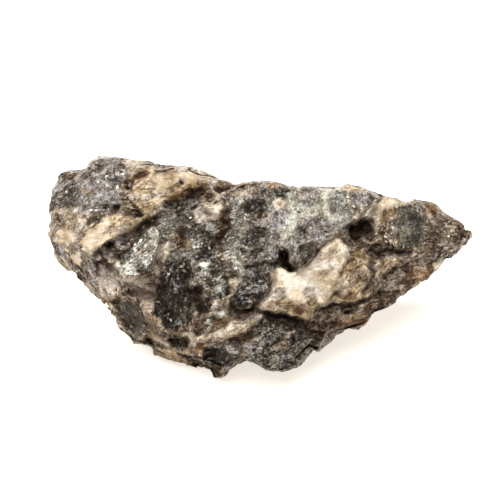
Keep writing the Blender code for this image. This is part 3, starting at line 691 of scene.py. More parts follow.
# Which way the grain runs, in degrees up from the right of the picture, and the stretches where it
# does. DEFAULT_RUN holds everywhere else.
RUNS = [
    (-45, [[(40, 244), (100, 250), (150, 300), (200, 350), (190, 372), (40, 290)]]),
    (78, [[(228, 180), (380, 184), (370, 220), (296, 272), (240, 240)],
          [(380, 196), (430, 200), (424, 250), (380, 246)],
          [(150, 340), (156, 262), (190, 256), (196, 340)]]),
    (38, [[(40, 160), (90, 160), (110, 200), (80, 246), (40, 246)],
          [(300, 240), (384, 246), (374, 300), (296, 320)]]),
]
DEFAULT_RUN = 14
RUN_FIELDS = [f"run_{number}" for number in range(len(RUNS))]

# Minerals: the dark, middle and light colour of their grains in display steps, how strongly clouds,
# fine grain, chips, crystals, streaks and fibres show in them, how rough their faces are, how far the
# finish breaks them into facets, how rugged they broke, how much of them glints, as painted glints and
# as metal, and half the width of their edge in picture steps. Each lies over the ones before it.
Mineral = namedtuple("Mineral", "dark middle light weights roughness relief ruggedness glint edge")
MINERALS = {
    "matrix": Mineral((47, 34, 22), (97, 84, 69), (168, 154, 138),
                      (0.56, 0.56, 0.34, 0.14, 0.34, 0.42), 0.55, 0.9, 0.9, 0.4, 1),
    "beige": Mineral((70, 52, 35), (140, 126, 109), (194, 184, 170),
                     (0.80, 0.46, 0.18, 0.05, 0.18, 0.26), 0.55, 0.7, 0.6, 0.15, 1.6),
    "cream": Mineral((122, 101, 74), (180, 164, 141), (214, 205, 191),
                     (1.30, 0.22, 0.08, 0.08, 0.04, 0.06), 0.45, 0.45, 0.5, 0.08, 1.2),
    "tan": Mineral((68, 48, 27), (128, 108, 80), (181, 167, 146),
                   (1.00, 0.46, 0.22, 0.08, 0.24, 0.28), 0.50, 0.7, 0.6, 0.3, 1.8),
    "umber": Mineral((45, 30, 18), (73, 58, 44), (140, 124, 107),
                     (0.62, 0.50, 0.42, 0.22, 0.34, 0.38), 0.45, 0.9, 0.9, 0.7, 1.2),
    "mica": Mineral((30, 23, 17), (60, 54, 47), (143, 137, 129),
                    (0.56, 0.46, 0.40, 0.26, 0.36, 0.32), 0.34, 1.0, 0.6, 0.6, 1.2),
    "green": Mineral((44, 37, 28), (97, 92, 81), (168, 165, 156),
                     (0.68, 0.48, 0.22, 0.05, 0.26, 0.26), 0.38, 0.8, 0.35, 0.4, 2.4),
    "silver": Mineral((70, 64, 52), (139, 135, 122), (198, 198, 188),
                      (1.00, 0.56, 0.18, 0.14, 0.56, 0.44), 0.28, 1.0, 0.6, 0.35, 1.2),
    "lilac": Mineral((47, 39, 33), (100, 92, 84), (159, 152, 148),
                     (0.60, 0.44, 0.26, 0.12, 0.26, 0.28), 0.38, 0.8, 0.5, 0.5, 2.0),
    "rust": Mineral((54, 31, 14), (107, 80, 53), (178, 152, 121),
                    (1.05, 0.32, 0.22, 0.08, 0.36, 0.30), 0.60, 0.7, 0.6, 0.15, 3.0),
    "haze": Mineral((98, 95, 80), (142, 139, 124), (190, 189, 174),
                    (1.20, 0.26, 0.14, 0.06, 0.40, 0.28), 0.36, 0.6, 0.35, 0.2, 4.5),
    "pearl": Mineral((136, 116, 94), (190, 173, 154), (230, 219, 205),
                     (1.10, 0.20, 0.12, 0.10, 0.18, 0.12), 0.36, 0.7, 0.4, 0.3, 4.5),
    # Shade is no mineral: painted shade, near black, for crevices, pits and the shadows under ledges.
    "shade": Mineral((20, 13, 7), (37, 28, 20), (102, 89, 76),
                     (0.80, 0.40, 0.20, 0.08, 0.29, 0.30), 0.45, 0.9, 0.8, 0.45, 1.5),
}


def sight_axes():
    """The picture's up, and the direction towards the viewer, in the stone's frame."""
    up = np.array([0.0, math.sin(LOOK_DOWN), math.cos(LOOK_DOWN)])
    near = np.array([0.0, -math.cos(LOOK_DOWN), math.sin(LOOK_DOWN)])
    return up, near


UP, NEAR = sight_axes()
SIGHT_POINT = np.array([SIDE_SHIFT, BACK_SHIFT, SIGHT_HEIGHT])


def to_stone(across, down, depth):
    """The point in millimetres that shows at a picture point, at a depth towards the viewer."""
    scale = (VIEW_DISTANCE - depth) / VIEW_DISTANCE * STEP
    right = (across - MIDDLE[0]) * scale
    up = (MIDDLE[1] - down) * scale
    return SIGHT_POINT + np.array([right, 0.0, 0.0]) + up * UP + depth * NEAR


def to_picture(points):
    """Picture steps right and down, and the depth, of points in millimetres."""
    offset = points - SIGHT_POINT
    depth = offset @ NEAR
    scale = (VIEW_DISTANCE - depth) / VIEW_DISTANCE * STEP
    return MIDDLE[0] + offset[:, 0] / scale, MIDDLE[1] - (offset @ UP) / scale, depth


def ring(across):
    """One closed section of the body."""
    top = np.interp(across, *np.transpose(UPPER_EDGE))
    foot = np.interp(across, *np.transpose(LOWER_EDGE))
    stations = np.transpose(GIRTH)
    limb, front, back = (np.interp(across, stations[0], row) for row in stations[1:])
    half = (foot - top) / 2
    lean = OUTLINE_LEAN * min(1.0, half / LEANING_HALF)
    points = []
    for k in range(RING_POINTS):
        turn = 2 * math.pi * k / RING_POINTS
        rise, out = math.cos(turn), math.sin(turn)
        swell = front * abs(out) ** FRONT_SHAPE if out > 0 else -back * abs(out) ** BACK_SHAPE
        points.append(to_stone(across, (top + foot) / 2 - half * rise, limb - lean * rise + swell))
    return points


def body_mesh():
    """The sections joined end to end into a closed mesh."""
    start, end = UPPER_EDGE[0][0], UPPER_EDGE[-1][0]
    mesh = bmesh.new()
    rings = []
    for k in range(STATIONS):
        even = k / (STATIONS - 1)
        crowded = 0.5 - 0.5 * math.cos(math.pi * even)
        across = start + (end - start) * (even + crowded) / 2
        rings.append([mesh.verts.new(Vector(p) * MM) for p in ring(across)])
    for one, two in zip(rings, rings[1:]):
        for k in range(RING_POINTS):
            after = (k + 1) % RING_POINTS
            mesh.faces.new((one[k], one[after], two[after], two[k]))
    mesh.faces.new(rings[0])
    mesh.faces.new(rings[-1][::-1])
    bmesh.ops.recalc_face_normals(mesh, faces=mesh.faces)
    return mesh


def break_off(mesh, point, normal):
    """Cuts away what lies outside a plane, in metres, and closes the stone with the flat break."""
    cut = bmesh.ops.bisect_plane(
        mesh, geom=mesh.verts[:] + mesh.edges[:] + mesh.faces[:], dist=CUT_SLACK,
        plane_co=point, plane_no=normal, clear_outer=True)
    edges = [e for e in cut["geom_cut"] if isinstance(e, bmesh.types.BMEdge)]
    bmesh.ops.holes_fill(mesh, edges=edges)


def break_hidden_sides(mesh):
    """Trims the sides that the picture doesn't show to flat breaks."""
    for way, depth in BREAKS:
        normal = Vector(way).normalized()
        furthest = max(vert.co.dot(normal) for vert in mesh.verts)
        break_off(mesh, normal * (furthest - depth * MM), normal)


def add_object(name, data):
    """An object in the scene, with its data."""
    made = bpy.data.objects.new(name, data)
    bpy.context.scene.collection.objects.link(made)
    return made


def object_from(mesh, name):
    """An object whose mesh is what was modelled, which is then let go."""
    data = bpy.data.meshes.new(name)
    mesh.to_mesh(data)
    mesh.free()
    return add_object(name, data)


def apply_modifiers(stone):
    """Puts the mesh as its modifiers make it in place of the stone's own."""
    graph = bpy.context.evaluated_depsgraph_get()
    old = stone.data
    stone.data = bpy.data.meshes.new_from_object(stone.evaluated_get(graph))
    stone.modifiers.clear()
    bpy.data.meshes.remove(old)


def even_out(stone, size):
    """Gives the stone even faces of a size in millimetres."""
    remesh = stone.modifiers.new("even faces", "REMESH")
    remesh.mode = "VOXEL"
    remesh.voxel_size = size * MM
    apply_modifiers(stone)


def keep_largest_shell(stone):
    """Takes out loose crumbs and closed bubbles, so that one shell stays."""
    mesh = bmesh.new()
    mesh.from_mesh(stone.data)
    unseen = set(mesh.verts)
    shells = []
    while unseen:
        shell = {unseen.pop()}
        edge_of_shell = list(shell)
        while edge_of_shell:
            vert = edge_of_shell.pop()
            for link in vert.link_edges:
                other = link.other_vert(vert)
                if other not in shell:
                    shell.add(other)
                    edge_of_shell.append(other)
        unseen -= shell
        shells.append(shell)
    shells.sort(key=len)
    spare = [vert for shell in shells[:-1] for vert in shell]
    bmesh.ops.delete(mesh, geom=spare, context="VERTS")
    mesh.to_mesh(stone.data)
    mesh.free()


def read(stone):
    """The stone's points in millimetres, and its normals."""
    count = len(stone.data.vertices)
    points, normals = np.empty(count * 3), np.empty(count * 3)
    stone.data.vertices.foreach_get("co", points)
    stone.data.vertices.foreach_get("normal", normals)
    return points.reshape(-1, 3) / MM, normals.reshape(-1, 3)


def write(stone, points):
    """Moves the stone's points to places in millimetres."""
    stone.data.vertices.foreach_set("co", (points * MM).ravel())
    stone.data.update()


def soft_step(low, high, values):
    """0 below low, 1 above high, and a smooth rise between them."""
    share = np.clip((values - low) / (high - low), 0, 1)
    return share * share * (3 - 2 * share)


def wander(across, down):
    """Picture points moved a little aside, so that straight outlines break unevenly."""
    moved = [across.copy(), down.copy()]
    for size, reach in WAVER:
        for axis in (0, 1):
            offset = WAVER_APART * axis + size
            moved[axis] += reach * np.array(
                [noise.noise((a / size, d / size, offset)) for a, d in zip(across, down)])
    return moved


def inside(across, down, corners):
    """Distance in from a closed outline, negative outside it."""
    nearest = np.full(len(across), np.inf)
    crossings = np.zeros(len(across), int)
    for (ax, ay), (bx, by) in zip(corners, np.roll(corners, -1, axis=0)):
        ex, ey = bx - ax, by - ay
        share = np.clip(((across - ax) * ex + (down - ay) * ey) / (ex * ex + ey * ey), 0, 1)
        nearest = np.minimum(nearest, np.hypot(across - ax - share * ex, down - ay - share * ey))
        spans = (ay > down) != (by > down)
        if ey:
            crossings += spans & (across < ax + (down - ay) / ey * ex)
    return np.where(crossings % 2 == 1, nearest, -nearest)


def carve_zones(points, normals):
    """Moves the front of the stone towards or away from the viewer, form by form."""
    across, down, depth = to_picture(points)
    facing = soft_step(*CARVED_FACING, normals @ NEAR)
    across, down = wander(across, down)
    move = np.zeros(len(points))
    for form in ZONES.values():
        share = facing * soft_step(-form["edge"] / 2, form["edge"] / 2, inside(across, down, form["corners"]))
        held = share > MOSTLY
        if form["flat"] and held.sum() > PLANE_POINTS:
            table = np.c_[across, down, np.ones(len(points))]
            plane = np.linalg.lstsq(table[held], (depth + move)[held], rcond=None)[0]
            move += share * form["flat"] * (table @ plane - depth - move)
        middle = form["corners"].mean(0)
        leaning = (across - middle[0]) * form["lean"][0] + (down - middle[1]) * form["lean"][1]
        move += share * (form["rise"] + leaning / LEAN_SPAN)
    return points + move[:, None] * NEAR


def along_layers(points):
    """Points squeezed along the layers, so that even cells there are long cells in the stone."""
    across = np.array(LAYER_LEAN) / np.linalg.norm(LAYER_LEAN)
    through = (points @ across)[:, None] * across
    return through + (points - through) / LAYER_STRETCH


def grain_seeds(points, size, rng):
    """Points scattered through a box, one in each cell of a loose lattice."""
    low, high = points.min(0) - size, points.max(0) + size
    cells = np.stack(np.meshgrid(*(np.arange(a, b, size) for a, b in zip(low, high)), indexing="ij"), -1)
    seeds = cells.reshape(-1, 3)
    return seeds + rng.uniform(-SEED_SPREAD, SEED_SPREAD, seeds.shape) * size


def break_grains(points, normals, grains):
    """Gives each grain a flat broken face that leans its own way and stands in or out."""
    size, tilt, rise, kept_in_front = grains
    rng = np.random.default_rng(SEED)
    squeezed = along_layers(points)
    seeds = grain_seeds(squeezed, size, rng)
    leans = rng.normal(size=seeds.shape)
    leans /= np.linalg.norm(leans, axis=1)[:, None]
    rises = rng.uniform(-rise, rise, len(seeds))
    tree = kdtree.KDTree(len(seeds))
    for index, seed in enumerate(seeds):
        tree.insert(seed, index)
    tree.balance()
    nearest = np.array([tree.find(p)[1] for p in squeezed])
    height = tilt * ((squeezed - seeds[nearest]) * leans[nearest]).sum(1) + rises[nearest]
    height *= 1 - (1 - kept_in_front) * soft_step(*BEHIND_FACING, normals @ NEAR)
    return points + height[:, None] * normals


def raise_lumps(points, normals):
    """Raises soft lumps all over the stone."""
    height = np.zeros(len(points))
    for size, high in LUMPS:
        height += high * np.array([noise.noise(Vector(p) / size) for p in points])
    return points + height[:, None] * normals


def nearest_on(across, down, line):
    """Distance to an open line of picture points."""
    nearest = np.full(len(across), np.inf)
    for (ax, ay), (bx, by) in zip(line, line[1:]):
        ex, ey = bx - ax, by - ay
        share = np.clip(((across - ax) * ex + (down - ay) * ey) / (ex * ex + ey * ey), 0, 1)
        nearest = np.minimum(nearest, np.hypot(across - ax - share * ex, down - ay - share * ey))
    return nearest


def open_cracks(points, normals):
    """Sinks the cracks of the front, each with a sharp floor and sloping sides."""
    across, down, _ = to_picture(points)
    facing = soft_step(*CARVED_FACING, normals @ NEAR)
    across, down = wander(across, down)
    move = np.zeros(len(points))
    for width, depth, line in CRACKS:
        share = 1 - soft_step(0, width, nearest_on(across, down, line))
        move = np.maximum(move, share * depth)
    return points - (move * facing)[:, None] * NEAR


def edge_table(stone):
    """The two points of each of the mesh's edges, by number."""
    table = np.empty(len(stone.data.edges) * 2, int)
    stone.data.edges.foreach_get("vertices", table)
    return table.reshape(-1, 2)


def hollows(stone):
    """How far each point lies under the mean of the surface round it, in millimetres."""
    points, normals = read(stone)
    one, two = edge_table(stone).T
    count = np.bincount(one, minlength=len(points)) + np.bincount(two, minlength=len(points))
    soft = points.copy()
    for _ in range(HOLLOW_ROUNDS):
        total = np.empty_like(soft)
        for axis in range(3):
            total[:, axis] = (np.bincount(one, soft[two, axis], len(points))
                              + np.bincount(two, soft[one, axis], len(points)))
        soft = total / count[:, None]
    return ((soft - points) * normals).sum(1)


def break_crystals(points, normals):
    """Breaks the sides that are turned away into crystals. Gives the moved points and the fields of
    what the crystals are made of."""
    rng = np.random.default_rng(HIDDEN_SEED)
    squeezed = along_layers(points)
    seeds = grain_seeds(squeezed, CRYSTAL, rng)
    leans = rng.normal(0, CRYSTAL_LEAN, seeds.shape)
    rises = rng.uniform(-CRYSTAL_RISE, CRYSTAL_RISE, len(seeds))
    names = list(HIDDEN_SHARES)
    shares = np.array([HIDDEN_SHARES[name] for name in names], float)
    kinds = rng.choice(len(names), size=len(seeds), p=shares / shares.sum())
    found = []
    for kind in range(len(names)):
        own = np.flatnonzero(kinds == kind)
        tree = kdtree.KDTree(len(own))
        for index in own:
            tree.insert(seeds[index], index)
        tree.balance()
        found.append([tree.find(point)[1:] for point in squeezed])
    found = np.array(found)
    nearest, distances = found[..., 0].astype(int), found[..., 1]
    own = nearest[distances.argmin(0), np.arange(len(points))]
    behind = 1 - soft_step(*CRYSTAL_FACING, normals @ NEAR)
    height = ((squeezed - seeds[own]) * leans[own]).sum(1) + rises[own]
    fields = {}
    for kind, name in enumerate(names):
        others = np.delete(distances, kind, axis=0).min(0)
        fields[name] = (others - distances[kind]) / 2 / STEP
    return points + (height * behind)[:, None] * normals, fields


def patch_depths(across, down):
    """How far inside each patch of the front every point lies, in picture steps."""
    depths = [inside(across, down, np.array(corners, float)) for _, _, corners in PATCHES]
    return np.clip(depths, -FIELD_REACH, FIELD_REACH)


def painted_fields(depths):
    """Fields of the front: how far inside its own patches each mineral is, in picture steps."""
    count = depths.shape[1]
    fields = {name: np.full(count, -FIELD_REACH) for name in MINERALS}
    tone = np.zeros(count)
    fields["matrix"] += 2 * FIELD_REACH
    for (mineral, lighter, _), depth in zip(PATCHES, depths):
        for name in fields:
            if name == mineral:
                fields[name] = np.maximum(fields[name], depth)
            else:
                fields[name] = np.minimum(fields[name], -depth)
        share = soft_step(-TONE_EDGE, TONE_EDGE, depth)
        tone += share * (lighter - tone)
    return fields, tone


def face_patches(points, normals, depths):
    """Presses each patch of the front to a face of its own that leans a little and stands in or out."""
    across, down, height = to_picture(points)
    facing = soft_step(*FACE_FACING, normals @ NEAR)
    rng = np.random.default_rng(SEED)
    move = np.zeros(len(points))
    table = np.c_[across, down, np.ones(len(points))]
    for (mineral, _, corners), depth in zip(PATCHES, depths):
        pressed, out = FACES.get(mineral, DEFAULT_FACE)
        lean = rng.normal(0, FACE_LEAN, 2)
        rise = out + rng.uniform(-FACE_RISE, FACE_RISE)
        share = facing * soft_step(*FACE_EDGE, depth)
        held = share > MOSTLY
        if held.sum() < FACE_POINTS:
            continue
        plane = np.linalg.lstsq(table[held], (height + move)[held], rcond=None)[0]
        middle = np.mean(corners, axis=0)
        tilt = (across - middle[0]) * lean[0] + (down - middle[1]) * lean[1]
        move += share * (pressed * (table @ plane - height - move) + tilt * STEP + rise)
    return points + move[:, None] * NEAR


def run_fields(across, down):
    """Fields of the stretches whose grain runs another way than the rest."""
    fields = {}
    for name, (_, outlines) in zip(RUN_FIELDS, RUNS):
        depth = np.max([inside(across, down, np.array(corners, float)) for corners in outlines], axis=0)
        fields[name] = np.clip(depth, -FIELD_REACH, FIELD_REACH)
    return fields


def store(stone, name, values):
    """Writes one number for each of the stone's points, as a field that finishes can read."""
    layer = stone.data.attributes.new(name, "FLOAT", "POINT")
    layer.data.foreach_set("value", np.asarray(values, np.float32))


def mineral_fields(normals, depths, hidden):
    """The field of each mineral at each point, in front as painted and behind as crystals."""
    front = soft_step(*FRONT_FACING, normals @ NEAR)
    fields, tone = painted_fields(depths)
    for name, field in fields.items():
        behind = hidden.get(name, np.full(len(front), -FIELD_REACH))
        fields[name] = behind + front * (field - behind)
    return fields, tone * front


def hold_skyline(points):
    """Lowers what stands over the stone's upper outline in the picture, down to a fraction of its rise."""
    across, down, _ = to_picture(points)
    over = np.interp(across, *np.transpose(SKYLINE)) - SKYLINE_SLACK - down
    share = np.where((across > SKYLINE[0][0]) & (across < SKYLINE[-1][0]), SKYLINE_HOLD, 0)
    return points - (np.maximum(over, 0) * share * STEP)[:, None] * UP


def ruggedness(fields):
    """How rugged the stone broke at each point, from the minerals that lie there."""
    total, weight = 0.0, 0.0
    for name, field in fields.items():
        share = soft_step(-RUGGED_EDGE, RUGGED_EDGE, field) + LEAST_SHARE
        total = total + share * MINERALS[name].ruggedness
        weight = weight + share
    return total / weight


def flake_fields(points, fields, tone):
    """Where flakes grow, from 0 to 1, and how light they are there, from 0 to 1."""
    cover = np.zeros(len(points))
    lightness = np.zeros(len(points))
    for name, share in FLAKY.items():
        here = soft_step(-FLAKY_EDGE, FLAKY_EDGE, fields[name])
        cover = np.maximum(cover, here * share)
        lightness += here * (np.mean(MINERALS[name].middle) / DISPLAY_STEPS - lightness)
    cover *= soft_step(*FLAKE_FLOOR, points[:, 2])
    clusters = np.array([noise.noise(Vector(point) / FLAKE_CLUSTER) for point in points])
    return cover * soft_step(*FLAKE_EDGE, clusters), lightness + tone * FLAKE_TONE


def paint_stone(stone, fields, tone):
    """Writes the fields that the finish and the flakes read. The matrix lies under all, so it has none."""
    for name, field in fields.items():
        if name != "matrix":
            store(stone, name, field)
    store(stone, "tone", tone)
    store(stone, "hollow", hollows(stone))
    points, _ = read(stone)
    for name, values in zip((FLAKE_COVER, FLAKE_LIGHT), flake_fields(points, fields, tone)):
        store(stone, name, values)


def linear(colour):
    """A colour given in display steps from 0 to 255, as a shader reads it, by the usual display curve."""
    shares = [step / DISPLAY_STEPS for step in colour]
    return [share / 12.92 if share <= 0.04045 else ((share + 0.055) / 1.055) ** 2.4 for share in shares]


class Value:
    """A number in a finish. Python's operators on it add Math nodes."""

    def __init__(self, finish, socket):
        self.finish = finish
        self.socket = socket

    def math(self, operation, *others, clamp=False):
        settings = {"operation": operation, "use_clamp": clamp}
        return self.finish.add("ShaderNodeMath", settings, dict(enumerate([self, *others])))

    def __add__(self, other):
        return self.math("ADD", other)

    __radd__ = __add__

    def __mul__(self, other):
        return self.math("MULTIPLY", other)

    __rmul__ = __mul__

    def __sub__(self, other):
        return self.math("SUBTRACT", other)

    def __rsub__(self, other):
        return (self * -1) + other

    def clamp(self):
        return self.math("ADD", 0.0, clamp=True)

    def centred(self):
        """A signal from 0 to 1, moved to lie round 0."""
        return self - 0.5

    def output(self, name):
        """Another output of the same node."""
        return Value(self.finish, self.socket.node.outputs[name])

    def step(self, low, high):
        """0 below low, 1 above high, and even between them."""
        return self.finish.add("ShaderNodeMapRange", {"clamp": True}, {
            "Value": self, "From Min": low, "From Max": high})


def set_stops(ramp, stops):
    """Gives a colour ramp its stops, each a place from 0 to 1 and a colour."""
    while len(ramp.elements) < len(stops):
        ramp.elements.new(1.0)
    for element, (place, colour) in zip(ramp.elements, stops):
        element.position = place
        element.color = (*colour, 1)


class Tree:
    """A tree of nodes, added one by one."""

    def __init__(self, tree):
        self.nodes = tree.nodes
        self.links = tree.links
        self.nodes.clear()

    def add(self, kind, settings=None, inputs=None, output=0):
        """Adds a node with its settings and the values or links of its sockets, and gives an output."""
        node = self.nodes.new(kind)
        for name, value in (settings or {}).items():
            if name == "stops":
                set_stops(node.color_ramp, value)
            else:
                setattr(node, name, value)
        for name, value in (inputs or {}).items():
            if isinstance(value, Value):
                self.links.new(value.socket, node.inputs[name])
            else:
                node.inputs[name].default_value = value
        return Value(self, node.outputs[output]) if node.outputs else None

    def vector(self, operation, one, two, output=0):
        return self.add("ShaderNodeVectorMath", {"operation": operation}, {0: one, 1: two}, output)


class Finish(Tree):
    """A material's nodes."""

    def __init__(self, name):
        self.material = bpy.data.materials.new(name)
        self.material.use_nodes = True
        super().__init__(self.material.node_tree)

    def place(self):
        """Where a point of the piece lies, in millimetres."""
        metres = self.add("ShaderNodeTexCoord", output="Object")
        return self.vector("MULTIPLY", metres, (1 / MM, 1 / MM, 1 / MM))

    def field(self, name):
        """The number that is painted on the piece's points under a name."""
        return self.add("ShaderNodeAttribute", {"attribute_name": name}, output="Fac")

    def noise(self, place, size, detail, rough, output="Fac"):
        """Soft noise; size is the width of its largest lumps, in the unit of the places."""
        return self.add("ShaderNodeTexNoise", {}, {
            "Vector": place, "Scale": 1 / size, "Detail": detail, "Roughness": rough}, output)

    def along(self, place, degrees):
        """Places squeezed along one way of the picture, so that even noise there turns to streaks."""
        turn = math.radians(degrees)
        right = np.array([1.0, 0.0, 0.0])
        way, aside = np.cos(turn) * right + np.sin(turn) * UP, np.cos(turn) * UP - np.sin(turn) * right
        euler = Matrix(np.transpose([way, aside, NEAR])).to_euler()
        return self.add("ShaderNodeMapping", {"vector_type": "TEXTURE"}, {
            "Vector": place, "Rotation": euler, "Scale": (RUN_STRETCH, 1, 1)})

    def cells(self, place, size):
        """A colour at random for each cell; size is the distance between cells."""
        return self.add("ShaderNodeTexVoronoi", {}, {"Vector": place, "Scale": 1 / size}, "Color")

    def mix(self, share, one, two, kind="MIX"):
        """One colour laid over another."""
        return self.add("ShaderNodeMix", {"data_type": "RGBA", "blend_type": kind}, {
            MIX_SHARE: share, MIX_UNDER: one, MIX_OVER: two}, MIX_RESULT)

    def red(self, colour):
        return self.add("ShaderNodeSeparateColor", {}, {"Color": colour}, "Red")

    def scattered(self, colour):
        """Colours at random, as vectors that lie round zero."""
        return self.vector("SUBTRACT", colour, (0.5, 0.5, 0.5))

    def surface(self, inputs):
        """Ends the finish in one surface with these inputs."""
        shader = self.add("ShaderNodeBsdfPrincipled", {}, inputs)
        self.add("ShaderNodeOutputMaterial", {}, {"Surface": shader})
        return self.material


def facets(finish, place, size):
    """Flat faces that lean at random: their height in millimetres, and a number for each."""
    colour = finish.cells(place, size)
    lean = finish.scattered(colour)
    offset = finish.vector("SUBTRACT", place, colour.output("Position"))
    height = finish.vector("DOT_PRODUCT", offset, lean, "Value")
    return height, finish.red(colour)


def drawn_out(finish, place, wobble, turn, signal):
    """A signal drawn out along the grain, which runs its own way in each stretch of the front, or at
    an angle in degrees to it."""
    found = signal(finish.along(place, DEFAULT_RUN + turn))
    for (degrees, _), field in zip(RUNS, RUN_FIELDS):
        other = signal(finish.along(place, degrees + turn))
        share = (finish.field(field) + wobble).step(-RUN_EDGE, RUN_EDGE)
        found = found + share * (other - found)
    return found


def fibres(finish, place, wobble, turn, size):
    """Thin broken lines in bundles, as the edges of mica sheets and needles show."""
    def ridges(stretched):
        off_middle = finish.noise(stretched, size, *FIBRE_DETAIL).centred()
        return off_middle.math("ABSOLUTE").step(*FIBRE_EDGE)

    bundle = finish.noise(place, size * BUNDLE_WIDTH, *BUNDLE_DETAIL).step(*BUNDLE_EDGE)
    return drawn_out(finish, place, wobble, turn, ridges) * bundle


def crisp(signal):
    """A noise pushed apart into light and dark, with short steps between them."""
    return signal.step(*CRISP)


def stone_grain(finish, place):
    """What varies inside the minerals: signals from 0 to 1, with those that MINERALS weighs in its
    order, and the heights of facets."""
    warp = finish.scattered(finish.noise(place, *WARP_NOISE, "Color"))
    bent = finish.vector("ADD", place, finish.vector("MULTIPLY", warp, BEND))
    swayed = finish.vector("ADD", place, finish.vector("MULTIPLY", warp, SWAY))
    wobble = finish.noise(place, *WOBBLE_NOISE).centred() * WOBBLE
    cloud = finish.noise(bent, *CLOUD_NOISE)
    speck = crisp(finish.noise(place, *SPECK_NOISE))
    fine = crisp(finish.noise(place, *GRAIN_NOISE)) * 0.5 + speck * 0.5
    streak = drawn_out(finish, swayed, wobble, 0, lambda way: finish.noise(way, *STREAK_NOISE))
    pale_fibre = fibres(finish, swayed, wobble, *PALE_FIBRES)
    dark_fibre = fibres(finish, swayed, wobble, *DARK_FIBRES)
    fibre = pale_fibre - dark_fibre
    crystal_height, crystal = facets(finish, bent, CRYSTAL_FACET)
    chip_height, chip = facets(finish, bent, CHIP_FACET)
    return SimpleNamespace(
        tone=finish.field("tone"), signals=[cloud, fine, chip, crystal, crisp(streak), fibre + 0.5],
        wobble=wobble, cloud=cloud, speck=speck, fine=fine, streak=streak, fibre=fibre,
        crystal_height=crystal_height, chip_height=chip_height)


def ramp_stops(dark, middle, light):
    """Five stops: three colours, with a still darker and a still lighter one at the ends."""
    darkest = [DARKEST * value for value in dark]
    lightest = [min(0.5 * (3 * high - value), LIGHTEST) for high, value in zip(light, middle)]
    return [(0.0, darkest), (0.25, dark), (0.5, middle), (0.75, light), (1.0, lightest)]


def mineral_shade(finish, settings, name, grain):
    """The colour of one mineral, lighter and darker as its tone and its grain say."""
    mineral = MINERALS[name]
    specks = grain.speck.centred() * (SPECK_TONE * mineral.relief ** 2)
    level = (grain.tone + specks) * SIGNAL_SHARE + 0.5
    for weight, signal in zip(mineral.weights, grain.signals):
        level = level + signal.centred() * (weight * SIGNAL_SHARE)
    middle = getattr(settings, f"{name}_colour", linear(mineral.middle))
    return finish.add("ShaderNodeValToRGB", {
        "stops": ramp_stops(linear(mineral.dark), middle, linear(mineral.light))}, {"Fac": level})


def lay_minerals(finish, settings, grain):
    """Lays each mineral over the ones before it. Gives the colour, the roughness, how strongly relief
    and glints show, and the seams."""
    ground, *others = MINERALS
    colour = mineral_shade(finish, settings, ground, grain)
    rough, relief, glitter = MINERALS[ground].roughness, MINERALS[ground].relief, MINERALS[ground].glint
    seams = []
    for name in others:
        mineral = MINERALS[name]
        reach = finish.field(name) + grain.wobble
        share = reach.step(-mineral.edge, mineral.edge)
        if name in SEAMED:
            seams.append(1 - reach.math("ABSOLUTE").step(*SEAM_EDGE))
        colour = finish.mix(share, colour, mineral_shade(finish, settings, name, grain))
        rough = share * (mineral.roughness - rough) + rough
        relief = share * (mineral.relief - relief) + relief
        glitter = share * (mineral.glint - glitter) + glitter
    seam = reduce(lambda one, two: one.math("MAXIMUM", two), seams)
    return colour, rough, relief, glitter, seam * grain.cloud.step(*SEAM_PLACES)


def weathered_and_shaded(finish, place, colour):
    """A brown film covers the stone in places, hollows are darkened and browned as painted shade, and broken
    edges are paler.
    """
    film = finish.noise(place, *FILM_NOISE).step(*FILM_EDGE)
    colour = finish.mix(1.0, colour, finish.mix(film, CLEAN_TINT, FILM_TINT), "MULTIPLY")
    hollow = finish.field("hollow")
    # Painted shade: hollows are darkened and browned.
    hollow_shade = hollow.step(*HOLLOW_SHADE_EDGE)
    wear = (hollow * -1).step(*WEAR_EDGE)
    colour = finish.mix(hollow_shade * HOLLOW_SHADE_SHARE, colour, HOLLOW_SHADE_TINT, "MULTIPLY")
    return finish.mix(wear * WEAR_SHARE, colour, WEAR_TINT, "MULTIPLY")


def stone_finish(settings):
    """Every mineral of the stone in one finish, told apart by the fields painted on its points."""
    finish = Finish("ijolite_stone")
    place = finish.place()
    grain = stone_grain(finish, place)
    colour, rough, relief, glitter, seam = lay_minerals(finish, settings, grain)
    # Painted shade darkens the seams.
    colour = finish.mix(seam * SEAM_SHADE_SHARE, colour, SEAM_SHADE_TINT, "MULTIPLY")
    colour = weathered_and_shaded(finish, place, colour)

    # Painted glints: edges and slivers of mica are painted pale in clusters, as highlights.
    cluster = finish.noise(place, *CLUSTER_NOISE).step(*CLUSTER_EDGE)
    painted_glint = (grain.streak.step(*GLINT_EDGE) * grain.speck * cluster * glitter).clamp()
    colour = finish.mix(painted_glint * GLINT_SHARE, colour, (*linear(GLINT_COLOUR), 1))
    rough = rough + grain.fine.centred() * GRAIN_ROUGHNESS - painted_glint * GLINT_POLISH - POLISH

    faceted = (grain.crystal_height * CRYSTAL_RELIEF + grain.chip_height * CHIP_RELIEF
               + grain.speck.centred() * SPECK_RELIEF + grain.streak.centred() * STREAK_RELIEF
               + grain.fibre * FIBRE_RELIEF)
    height = faceted * relief + grain.fine.centred() * GRAIN_RELIEF - seam * SEAM_DEPTH
    bump = finish.add("ShaderNodeBump", {}, {"Strength": 1.0, "Distance": MM, "Height": height})
    return finish.surface({
        "Base Color": colour, "Metallic": (glitter * METAL_SHARE).clamp(),
        "Roughness": rough.math("MAXIMUM", SMOOTHEST), "Normal": bump, "Specular IOR Level": STONE_SHEEN})


def reshape(stone, change, *more):
    """Moves the stone's points where a function of them and their normals says."""
    points, normals = read(stone)
    write(stone, change(points, normals, *more))


